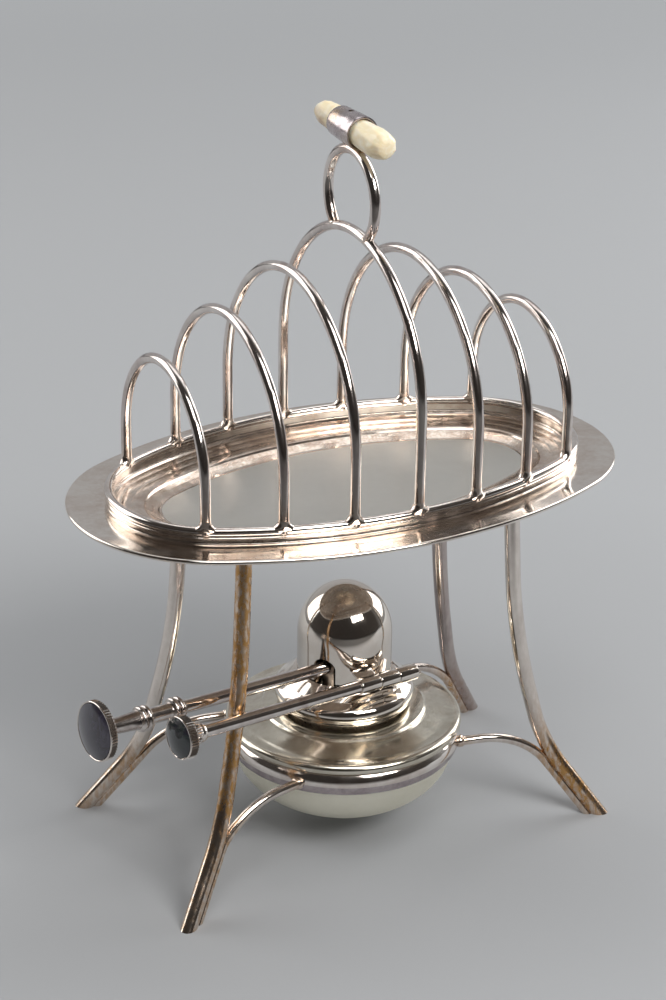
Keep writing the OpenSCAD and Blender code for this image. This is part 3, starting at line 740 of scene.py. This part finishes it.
def knobbly(r, z, a):
    """Bone ends are carved in soft facets and never quite round."""
    if r < 0.05:
        return 0.0
    out = 1 if z < 14.5 or z > 33 else 0.2
    facet = 0.08 * math.cos(5 * a + z * 0.35) + 0.07 * math.cos(3 * a - z * 0.6 + 1.1)
    lump = noise.noise(Vector((math.cos(a) * 1.1, math.sin(a) * 1.1, z * 0.22)))
    return r * (0.995 - out * (0.015 + 0.45 * abs(facet) + 0.10 * max(0.0, lump)))


v, f = lathe(profile, 72, False, knobbly)
stains = [(RACK_X - 3.5, 15, pin_at.z - 2, 4.2, 0.85), (RACK_X - 2, 21, pin_at.z, 2.5, 0.5),
          (RACK_X + 1, -12, pin_at.z + 4, 2.5, 0.2), (RACK_X - 3, -21, pin_at.z - 3, 3.0, 0.25)]
piece("bone_toggle_carved", v, f, BONE, "stand", ["bone_toggle"], stains, None, 60,
      TOGGLE @ Matrix.Translation((0, 0, TOGGLE_FRONT)))

# ---------------------------------------------------------------- legs, arms, ring
def down(a):
    return np.array((sind(a), -cosd(a)))


def inward(a):
    return np.array((cosd(a), sind(a)))


a1, a2, a3 = LEG_LEAN
upper, lower = LEG_BENDS
p0 = np.array((0, LEG_Z - 0.4))
p1 = np.array((0, LEG_Z)) + 32 * down(a1)
c1 = p1 + upper * inward(a1)
p2 = c1 - upper * inward(a2)
p3 = p2 + 10 * down(a2)
c2 = p3 + lower * inward(a2)
p4 = c2 - lower * inward(a3)
p5 = p4 + (p4[1] + 6) / cosd(a3) * down(a3)
leg_flat = path_of(line(tuple(p0), tuple(p1)), arc(c1, upper, 180 + a1, 180 + a2, 3),
                   line(tuple(p2), tuple(p3)), arc(c2, lower, 180 + a2, 180 + a3, 2),
                   line(tuple(p4), tuple(p5)))
ca, sa = cosd(LEG_DIR), sind(LEG_DIR)
leg_path = np.array([(LEG_TOP[0] + s * ca, LEG_TOP[1] + s * sa, z) for s, z in leg_flat])
ARM_Z, ARM_START, ARM_DIR, ARM_RUN, ARM_BEND, ARM_R = 33.2, (32.5, 27.3), 11.6, 7.5, 31.5, 1.65
MEET_Z = 17  # height of the solder between arm and leg
fall = 90 - a3
arm_flat = path_of(line((-0.9, ARM_Z), (ARM_RUN, ARM_Z), 1.0),
                   arc((ARM_RUN, ARM_Z - ARM_BEND), ARM_BEND, 90, 90 - fall, 1.2))
cb, sb = cosd(ARM_DIR), sind(ARM_DIR)
arm_path = [(ARM_START[0] + s * cb, ARM_START[1] + s * sb, z) for s, z in arm_flat]
meet = np.array(arm_path[-1])
way = np.array((sind(a3) * ca, sind(a3) * sa, -cosd(a3)))
along_leg = np.arange(1.2, meet[2] / cosd(a3) + 4, 1.6)
arm_path = np.array(arm_path + [tuple(meet + way * t) for t in along_leg])
for _ in range(3):
    arm_path[1:-1] = (arm_path[:-2] + 2 * arm_path[1:-1] + arm_path[2:]) / 4
leg_parts = []
LEGS = (("back_right", 1, 1), ("back_left", -1, 1), ("front_right", 1, -1), ("front_left", -1, -1))
for where, sx, sy in LEGS:
    flip = np.array((sx, sy, 1.0))
    seed = sx * 2.1 + sy
    lp = leg_path * flip
    foot = lp[np.argmin(np.abs(lp[:, 2]))]
    wig = np.array([0.985 + 0.015 * math.sin(k * 0.31 + seed) for k in range(len(lp))])
    v, f = sweep(lp, LEG_R * wig, 26)
    joint = arm_path[np.argmin(np.abs(arm_path[:, 2] - MEET_Z))] * flip
    hot = [(RACK_X + foot[0], foot[1], 0, 20, 0.45), (RACK_X + joint[0], joint[1], 18, 11, 0.65)]
    # the back right leg gets the darker copy of the plate: painted shade
    leg_plate_or_painted_shade = LEG_PAINTED_SHADE if where == "back_right" else LEG
    if where == "front_right":
        hot += [(RACK_X + foot[0] - 8, foot[1] + 3, 20, 22, 0.7)]
    if where == "front_left":
        hot += [(RACK_X + lp[k][0], lp[k][1], lp[k][2], 11, 0.8) for k in (4, 8, 12, 16, 20, 24, 28, 32)]
    ob = piece(f"leg_wire_{where}", v, f, leg_plate_or_painted_shade, "stand", [f"leg_{where}"], hot, None,
               60, STAND)
    cut_at_floor(ob)
    ap = arm_path * flip
    v, f = sweep(ap, ARM_R, 22)
    start = ap[0]
    hot = [(RACK_X + start[0], start[1], ARM_Z, 6, 0.5), (RACK_X + joint[0], joint[1], 18, 14, 0.7),
           (RACK_X + foot[0], foot[1], 0, 16, 0.5)]
    ob = piece(f"arm_wire_{where}", v, f, LEG, "stand", [f"arm_{where}"], hot, None, 60,
               STAND)
    cut_at_floor(ob)
    d = math.atan2(start[1], start[0])
    q = ap[1] - np.array((math.cos(d), math.sin(d), 0)) * 0.2
    leg_parts.append(blob((q[0], q[1], ARM_Z), (1.9, 2.3, 2.2), d, 22, 14, seed))
    bead = (q[0] + 0.9 * math.cos(d), q[1] + 0.9 * math.sin(d), ARM_Z + 1.2)
    leg_parts.append(blob(bead, (1.0, 1.0, 0.8), d, 14, 8, seed + 3))
v, f = join(leg_parts)
piece("ring_solder", v, f, LEG, "stand", (), even(0.35), None, 50, STAND)

parts = []
cone = rounded([(2.6, LEG_Z - 1.4), (3.3, LEG_Z - 1.38), (3.9, LEG_Z - 0.75), (5.2, LEG_Z - 0.02),
                (2.6, LEG_Z - 0.02)], 0.3, 3)
for sx in (-1, 1):
    for sy in (-1, 1):
        v, f = lathe(cone, 32, True)
        v = v + np.array((sx * LEG_TOP[0], sy * LEG_TOP[1], 0))
        parts.append((v, f))
v, f = join(parts)
piece("leg_solder", v, f, LEG, "stand", ["leg_pads"], even(0.5), None, 50, STAND)

RING_SEGS = 160
z0, z1 = SEAT_Z - 7.8, SEAT_Z
swell, mid_z = 5.97, SEAT_Z - 3.9  # the band's outside is an arc of this radius about this height
outer = [(BOWL_R + 2.55 - swell + math.sqrt(swell**2 - (z - mid_z) ** 2), z)
         for z in np.linspace(z0 + 0.2, z1 - 0.2, 21)]
prof = [(BOWL_R + 0.32, z1 - 0.3), (BOWL_R + 0.32, z0 + 0.3), (BOWL_R + 0.7, z0)] + outer
prof = rounded(prof + [(BOWL_R + 0.9, z1)], 0.15)
v, f = lathe(prof, RING_SEGS)
# the ring's lower part takes the darker plate: a painted dark reflection
painted_reflection_below = [int(p[1] < SEAT_Z - 4.6) for p in prof for _ in range(RING_SEGS)]
piece("burner_ring_band", v, f, [RAIL, PURPLE_PAINTED_REFLECTION], "stand", ["burner_ring"], None, painted_reflection_below,
      38, STAND)

# ---------------------------------------------------------------- burner
def bowl_arc(inset, angles):
    """The bowl's section, inset by the sheet's thickness for its inside."""
    deep = BOWL_EDGE - BOWL_Z - inset
    return [((BOWL_R - inset) * cosd(a), BOWL_EDGE - deep * sind(a)) for a in angles]


bowl_top = SEAT_Z + 1.28
bowl = [(BOWL_R, bowl_top)] + bowl_arc(0, range(0, 90, 4)) + [(0, BOWL_Z)]
inner = [(0, BOWL_Z + BOWL_T)] + bowl_arc(BOWL_T, range(88, -1, -4)) + [(BOWL_R - BOWL_T, bowl_top)]
v, f = lathe(bowl + inner, 144, True)
piece("reservoir_bowl_spun", v, f, BOWL, "burner", ["reservoir_bowl"], None, None, 50, BURNER)

roll, roll_z = 1.9, SEAT_Z + 2.1
roll_c = 41.9 - roll
rim = [(roll_c + roll * cosd(a), roll_z + roll * sind(a)) for a in range(-100, 96, 8)]
cone = [(38.6, 3.72), (36, 4.55), (33, 5.45), (30.2, 6.28), (29.3, 6.62), (28.4, 7.34), (26, 7.72),
        (20.7, 8.38), (20.7, 7.6), (28, 6.6), (29, 5.8), (38, 2.9), (38, 1.4)]
cone = [(r, SEAT_Z + z) for r, z in cone]
prof = rim + rounded(cone, [0.3, 3, 3, 2, 0.8, 0.8, 3, 0.3, 0.2, 0.5, 0.5, 0.3, 0.2], 4, False)
turned("reservoir_shoulder_spun", prof, SHOULDER, "burner", BURNER, ["reservoir_shoulder"],
       160)

thread = []
for k in range(41):
    z = SEAT_Z + 7.5 + 8.2 * k / 40
    thread.append((NECK_R + 0.14 * math.cos(k * 2 * math.pi / 5), z))
prof = thread + [(NECK_BORE, SEAT_Z + 15.7), (NECK_BORE, SEAT_Z + 7.5)]
turned("reservoir_neck_threaded", prof, THREAD, "burner", BURNER, ["reservoir_neck"], 120)

skirt = 3.4  # radius of the cap's rounded skirt
edge = CAP_R - skirt
cap_out = [(CAP_R - 2.2, CAP_LOW), (CAP_R - 1.15, CAP_LOW + 0.02), (CAP_R - 0.85, CAP_LOW + 0.5)]
cap_out += [(edge + skirt * cosd(a), CAP_LOW + 3.6 + skirt * sind(a)) for a in range(-40, 62, 6)]
cap_out += [(21.2, CAP_TOP - 4.1), (19.2, CAP_TOP - 1.9), (17.8, CAP_TOP - 0.5), (17.0, CAP_TOP),
            (6.2, CAP_TOP), (6.2, CAP_TOP - 1.0)]
cap_in = [(17, CAP_TOP - 1), (20.7, CAP_LOW + 8), (20.7, CAP_LOW + 0.6), (21.4, CAP_LOW)]
corners = [0.2, 0.15, 0.3] + [0] * 17 + [1.5, 2, 0.6, 0.5, 0.3, 0.2, 0.5, 0.5, 0.3, 0.2]
prof = rounded(cap_out + cap_in, corners, 4)
turned("screw_cap_spun", prof, DOME, "burner", BURNER, ["screw_cap"], 144)
keep_node("wick_tube", THREAD)
keep_node("winder_bearings", BROWN_TARNISH_AND_SHADE)
keep_node("winder_wheel", BRASS)
keep_node("wick_strip", BRASS)


def plate(x0, x1, y0, y1, z0, z1, r=0.35):
    """A flat plate with rounded edges, as a grid of rounded outlines."""
    out = []
    b = 0.3 * r
    for z, i in ((z0, r), (z0 + b, b), (z0 + r, 0), (z1 - r, 0), (z1 - b, b), (z1, r)):
        ring = rounded([(x0 + i, y0 + i), (x1 - i, y0 + i), (x1 - i, y1 - i), (x0 + i, y1 - i)], 0.9, 4)
        out.append([(p[0], p[1], z) for p in ring])
    return grid(out, True, False, True)


def barrel(x0, x1, r=BARREL_R, bore=0.0, edge=0.28):
    """One knuckle of a hinge, along X."""
    prof = rounded([(bore, x0), (r, x0), (r, x1), (bore, x1)], [0, edge, edge, 0], 4, bore > 0)
    v, f = lathe(prof, 56, bore > 0)
    m = np.array(ALONG_X)[:3, :3]
    return v @ m.T, f


ROD_BORE = 2.36  # the fixed knuckles' clearance round the rod
to_burner = HINGE.inverted() @ BURNER
parts = [barrel(-3.2, 4.82, bore=ROD_BORE), barrel(5.08, 13.2, bore=ROD_BORE)]
leaf = plate(-2.9, 18.0, HINGE_Y + 1.2, HINGE_Y + 6.2, CAP_TOP - 0.4, CAP_TOP + 0.62)
parts.append(placed(leaf, to_burner))
parts.append(placed(plate(-3.0, 13.0, HINGE_Y + 0.7, HINGE_Y + 2.7, CAP_TOP - 0.4, CAP_TOP + 1.9), to_burner))
v, f = join(parts)
piece("hinge_fixed_knuckles", v, f, DOME, "burner", ["hinge_fixed"],
      [(RACK_X + 17, -14, CAP_TOP, 5, 0.3)], None, 35, HINGE)

# ---------------------------------------------------------------- snuffer
crown_z = DOME_TOP - DOME_R - 1.8
prof = [(DOME_R - DOME_T + 0.2, DOME_LOW), (DOME_R - 0.2, DOME_LOW), (DOME_R, DOME_LOW + 0.2)]
prof += [(DOME_R, z) for z in np.linspace(DOME_LOW + 1.5, crown_z - 0.5, 12)]
crown_h = DOME_TOP - crown_z
prof += [(DOME_R * cosd(a), crown_z + crown_h * sind(a)) for a in range(0, 90, 3)]
prof += [(0, DOME_TOP), (0, DOME_TOP - DOME_T)]
prof += [((DOME_R - DOME_T) * cosd(a), crown_z + (crown_h - DOME_T) * sind(a)) for a in range(87, -1, -3)]
v, f = lathe(prof, 192, True)
dome = piece("snuffer_dome_spun", v, f, DOME, "snuffer", ["snuffer_dome"], None, None, 35,
             BURNER)
slot_y, slot_r = WINDER_Y - 0.35, 3.75  # the winder's rod leaves through this slot
outline = [(slot_y - slot_r, DOME_LOW - 1), (slot_y + slot_r, DOME_LOW - 1)]
outline += [(slot_y + slot_r * cosd(a), WINDER_Z + 1 + slot_r * sind(a)) for a in range(0, 181, 9)]
rings = [[(x, y, z) for y, z in outline] for x in (-20.0, -10.0)]
v, f = placed(grid(rings, True, False, True), BURNER)
cut = bpy.data.meshes.new("slot")
cut.from_pydata([tuple(p) for p in v * MM], [], f)
carve(dome, cut, 35)

parts = [barrel(-11.9, -3.5, bore=2.32)]
tongue = plate(-11.7, -3.7, 1.6, 5.6, 1.42, 2.5, 0.3)
parts.append(placed(tongue, Matrix.Rotation(math.radians(20), 4, "X")))
v, f = join(parts)
piece("snuffer_leaf_knuckle", v, f, DOME, "snuffer", ["snuffer_leaf"],
      [(RACK_X - 3, -18, 62, 5, 0.35)], None, 35, HINGE)

prof = [(0, SNUFFER_END), (ROD_R, SNUFFER_END)] + [(ROD_R, x) for x in np.linspace(-80, 11, 40)]
prof += [(ROD_R, 12.7), (ROD_R - 0.4, 13.2), (0, 13.2)]
turned("snuffer_rod_turned", prof, WIRE, "snuffer", HINGE, ["snuffer_rod"], 40, False,
       along=True)
prof = [(ROD_R, SNUFFER_END), (4.0, SNUFFER_END), (4.0, -82.6), (3.6, -82.2), (3.85, -81.4), (3.7, -80.2),
        (3.3, -79.2), (3.35, -78.4), (3.0, -77.4), (ROD_R, -77.3)]


def milled(r, x, a):
    """Coarse milling on the wide part of the ferrule."""
    return r - 0.2 + 0.2 * math.cos(22 * a) if r > 3.5 and x > -82.4 else r


turned("snuffer_ferrule_turned", prof, RAIL, "snuffer", HINGE, ["snuffer_ferrule"], 132,
       True, 0.3, along=True, wobble=milled)


def knob(name, x0, x1, r, ribs, frame_m, body, node_name):
    """A milled ring with a thin bright bezel round the stone's seat."""
    depth, rows, seat = 0.6, 9, x0 + 1.35
    prof = [(r - 2.2, seat), (r - 0.62, seat), (r - 0.55, x0 + 0.12), (r - 0.42, x0), (r - 0.12, x0),
            (r, x0 + 0.12), (r, x0 + 0.32), (r - 0.3, x0 + 0.45)]
    lo_x, hi_x = x0 + 0.5, x1 - 0.4
    prof += [(r - 0.02, lo_x + 0.05 + (hi_x - lo_x - 0.1) * k / (rows - 1)) for k in range(rows)]
    prof += [(r - 0.55, x1 - 0.25), (r - 0.9, x1), (r * 0.55, x1), (r * 0.42, x1), (0, x1), (0, seat)]

    def mill(rad, x, a):
        if rad < r - 0.1 or not lo_x < x < hi_x:
            return rad
        return rad - depth * (0.5 - 0.5 * math.cos(ribs * a)) ** 0.7

    v, f = lathe(prof, ribs * 6, True, mill)
    piece(name, v, f, RAIL, body, [node_name], None, None, 30, frame_m @ ALONG_X)


def stone(name, x0, r, bulge, mat, frame_m, body, node_name):
    """A domed, polished stone: a low ellipsoid cap on a short wall."""
    ball = (r * r + bulge * bulge) / (2 * bulge)
    half = math.asin(r / ball)
    prof = [(ball * math.sin(half * k / 20), x0 + ball - bulge - ball * math.cos(half * k / 20))
            for k in range(21)]
    prof += [(r, x0 + 0.4), (r, x0 + 1.3), (0, x0 + 1.3)]
    v, f = lathe(prof, 96, False)
    piece(name, v, f, mat, body, [node_name], None, None, 50, frame_m @ ALONG_X)


knob("snuffer_knob_knurled", SNUFFER_FACE, SNUFFER_END, 7.3, 44, HINGE, "snuffer", "snuffer_knob")
stone("snuffer_stone_domed", SNUFFER_FACE, 6.55, 1.4, STONE_B, HINGE, "snuffer", "snuffer_stone")

# ---------------------------------------------------------------- winder
prof = [(0, WINDER_END), (ROD_R, WINDER_END)] + [(ROD_R, x) for x in np.linspace(-70, 4, 30)]
prof += [(ROD_R, 5.8), (ROD_R - 0.4, 6.2), (0, 6.2)]
turned("winder_rod_turned", prof, WIRE, "winder", WINDER, ["winder_rod"], 40, False,
       along=True)


def beads(x, r):
    """Two rounded mouldings side by side."""
    out = []
    for b in (x, x + 2.1):
        bead = [(r - 0.75 + 0.75 * sind(a), b + 1.05 - 0.92 * cosd(a)) for a in range(0, 181, 15)]
        out += [(r - 1.1, b)] + bead + [(r - 1.1, b + 2.1)]
    return out


prof = [(0, SHANK_END), (3.9, SHANK_END), (4.0, -105.7), (4.0, -104.9), (3.6, -104.6), (2.7, -104.6),
        (2.72, -101), (3.0, -96), (3.3, -92.5)]
prof += beads(-92.4, 4.4) + [(2.85, -88.1), (2.8, -84), (2.85, -79.5)] + beads(-79.4, 4.3)
prof += [(2.9, -75.2), (3.0, -74.9), (3.0, -74.4), (2.6, WINDER_END), (0, WINDER_END)]
turned("winder_shank_turned", prof, SHANK, "winder", WINDER, ["winder_shank"], 64, False,
       along=True)
knob("winder_knob_knurled", WINDER_FACE, SHANK_END, 10.1, 60, WINDER, "winder", "winder_knob")
stone("winder_stone_domed", WINDER_FACE, 9.35, 1.6, STONE_A, WINDER, "winder", "winder_stone")

# ---------------------------------------------------------------- wick
lo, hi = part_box("wick")
WICK_Z0, WICK_Z1 = lo.z / MM, hi.z / MM
WICK_M = BURNER @ Matrix.Translation((0, 2.2, 0))


def plait(r, z, a):
    """Plaited cotton: strands crossing both ways."""
    if r < 0.5:
        return r
    return r - 0.14 + 0.12 * max(math.cos(6 * a + z * 1.9), math.cos(6 * a - z * 1.9))


prof = [(0, WICK_Z0)]
prof += [(3.3 + 0.25 * min(1, z - WICK_Z0), z) for z in np.arange(WICK_Z0, WICK_Z1 - 0.5, 0.45)]
prof += [(3.2, WICK_Z1 - 0.4), (2.4, WICK_Z1 - 0.1), (0, WICK_Z1)]
v, f = lathe(prof, 48, False, plait)
piece("wick_plaited", v, f, COTTON, "wick", ["wick"], None, None, 60, WICK_M)

# ---------------------------------------------------------------- floor, light, camera
CAM_AZ = -28.72  # degrees, 0 looks along +Y
AZ, EL, ROLL = math.radians(CAM_AZ), math.radians(23.54), math.radians(0.86)
FLOOR_SIZE = 6.0  # metres from its middle to its edge
NEAR_EDGE = (0.12, 0.32)  # where the floor darkens in reflections, metres toward the photograph's camera
# painted light: from these distances on, the floor glows in the backdrop's tone
FAR_FADE = (0.75, 1.9)  # where the floor takes the backdrop's tone, metres from the object


def stage_material():
    """Pale paper with a painted shadow round the object; in polished metal its near part is painted dark,
    standing in for the unlit table edge before it.
    """
    mat, nt, sh, co = material("paper_grey")
    tone = noise_tex(nt, co, 2.0, 2)
    near = node(nt, "ShaderNodeVectorMath", operation="DOT_PRODUCT")
    near.inputs[1].default_value = (math.sin(AZ), -math.cos(AZ), 0)
    nt.links.new(co, near.inputs[0])
    edge = node(nt, "ShaderNodeMapRange", interpolation_type="SMOOTHSTEP")
    edge.inputs["From Min"].default_value, edge.inputs["From Max"].default_value = NEAR_EDGE
    nt.links.new(near.outputs["Value"], edge.inputs["Value"])
    # painted reflection: in glossy rays the near part of the paper is almost black
    in_metal = node(nt, "ShaderNodeLightPath").outputs["Is Glossy Ray"]
    painted_dark_reflection = times(nt, times(nt, edge.outputs["Result"], in_metal), 0.85)
    paper = mix(nt, tone, (0.385, 0.393, 0.402), (0.402, 0.410, 0.420))
    # painted shadow and light: the paper is darker near the object and lighter far from it
    away = node(nt, "ShaderNodeVectorMath", operation="DISTANCE")
    away.inputs[1].default_value = (-0.05 * math.sin(AZ), 0.05 * math.cos(AZ), 0)
    nt.links.new(co, away.inputs[0])
    painted_shadow_and_light = ramp(nt, times(nt, away.outputs["Value"], 0.5),
                 [(0.0, 0.72), (0.14, 0.93), (0.5, 1.06), (1.0, 1.15)])
    paper_with_painted_shadow = node(nt, "ShaderNodeVectorMath", operation="MULTIPLY")
    nt.links.new(paper, paper_with_painted_shadow.inputs[0])
    nt.links.new(painted_shadow_and_light, paper_with_painted_shadow.inputs[1])
    nt.links.new(mix(nt, painted_dark_reflection, paper_with_painted_shadow.outputs[0], (0.03, 0.028, 0.026)), sh.inputs["Base Color"])
    grain = noise_tex(nt, co, 900, 2)
    nt.links.new(plus(nt, times(nt, grain, 0.1), 0.75), sh.inputs["Roughness"])
    sh.inputs["Specular IOR Level"].default_value = 0.2
    # far off, where the lamps hardly reach, the paper is painted light: seen directly it glows in the
    # backdrop's tone
    fade = node(nt, "ShaderNodeMapRange", interpolation_type="SMOOTHSTEP")
    fade.inputs["From Min"].default_value, fade.inputs["From Max"].default_value = FAR_FADE
    nt.links.new(away.outputs["Value"], fade.inputs["Value"])
    by_eye = node(nt, "ShaderNodeLightPath").outputs["Is Camera Ray"]
    painted_far_light = node(nt, "ShaderNodeEmission")
    painted_far_light.inputs["Color"].default_value = (0.455, 0.468, 0.48, 1)
    blend = node(nt, "ShaderNodeMixShader")
    nt.links.new(times(nt, fade.outputs["Result"], by_eye), blend.inputs[0])
    nt.links.new(sh.outputs[0], blend.inputs[1])
    nt.links.new(painted_far_light.outputs[0], blend.inputs[2])
    nt.links.new(blend.outputs[0], nt.nodes["Material Output"].inputs["Surface"])
    return mat


bm = bmesh.new()
bmesh.ops.create_grid(bm, x_segments=8, y_segments=8, size=FLOOR_SIZE)
floor_mesh = bpy.data.meshes.new("floor")
bm.to_mesh(floor_mesh)
bm.free()
floor_mesh.materials.append(stage_material())
floor = bpy.data.objects.new("floor", floor_mesh)
scene.collection.objects.link(floor)

AIM = Vector((RACK_X - 5.46, 0, 123.0)) * MM
DISTANCE = 0.80285


def camera_axes():
    back = Vector((math.sin(AZ) * math.cos(EL), -math.cos(AZ) * math.cos(EL), math.sin(EL)))
    right = Vector((math.cos(AZ), math.sin(AZ), 0))
    return right, back.cross(right), back


right, up, back = camera_axes()
cam = bpy.data.cameras.new("camera")
cam.lens = 84.76
cam.sensor_width = 36.0
cam.clip_start = 0.01
cam_ob = bpy.data.objects.new("camera", cam)
scene.collection.objects.link(cam_ob)
r2 = right * math.cos(ROLL) + up * math.sin(ROLL)
u2 = up * math.cos(ROLL) - right * math.sin(ROLL)
m = Matrix((r2, u2, back)).transposed().to_4x4()
m.translation = AIM + back * DISTANCE
cam_ob.matrix_world = m
scene.camera = cam_ob


def softbox(name, azimuth, elevation, distance, width, height, power, colour=(1, 1, 1)):
    """An area light that looks at the object from an azimuth measured as the camera's is."""
    a, e = math.radians(azimuth), math.radians(elevation)
    d = Vector((math.sin(a) * math.cos(e), -math.cos(a) * math.cos(e), math.sin(e)))
    data = bpy.data.lights.new(name, "AREA")
    data.shape = "RECTANGLE"
    data.size, data.size_y = width, height
    data.energy = power
    data.color = colour
    ob = bpy.data.objects.new(name, data)
    scene.collection.objects.link(ob)
    aim = Vector((0, 0, 0.1))
    ob.location = aim + d * distance
    ob.rotation_euler = d.to_track_quat("Z", "Y").to_euler()


softbox("key", CAM_AZ + 40, 40, 1.7, 0.85, 0.5, 20, (1.0, 0.985, 0.97))
softbox("left_box", CAM_AZ - 112, 26, 1.7, 1.2, 1.4, 13, (1.0, 0.99, 0.975))
softbox("right_box", CAM_AZ + 128, 26, 1.7, 1.0, 1.4, 15, (0.98, 0.99, 1.0))
softbox("overhead", CAM_AZ + 172, 60, 2.4, 1.8, 1.2, 8, (0.98, 0.99, 1.0))
softbox("front_top", CAM_AZ + 12, 64, 2.2, 1.3, 1.0, 17, (0.97, 0.985, 1.0))

world = bpy.data.worlds.new("studio")
world.use_nodes = True
wt = world.node_tree
bg = wt.nodes["Background"]
direction = node(wt, "ShaderNodeTexCoord").outputs["Generated"]
facing = node(wt, "ShaderNodeVectorMath", operation="DOT_PRODUCT")
facing.inputs[1].default_value = (-math.sin(AZ), math.cos(AZ), 0)
wt.links.new(direction, facing.inputs[0])
studio = ramp(wt, times(wt, plus(wt, facing.outputs["Value"], 1.0), 0.5),
              [(0.0, (0.030, 0.027, 0.025)), (0.50, (0.055, 0.050, 0.047)), (0.68, (0.30, 0.30, 0.30)),
               (1.0, (0.42, 0.42, 0.43))])
seen = node(wt, "ShaderNodeLightPath").outputs["Is Camera Ray"]
wt.links.new(mix(wt, seen, studio, (0.48, 0.49, 0.50)), bg.inputs[0])
scene.world = world
scene.view_settings.view_transform = "Standard"
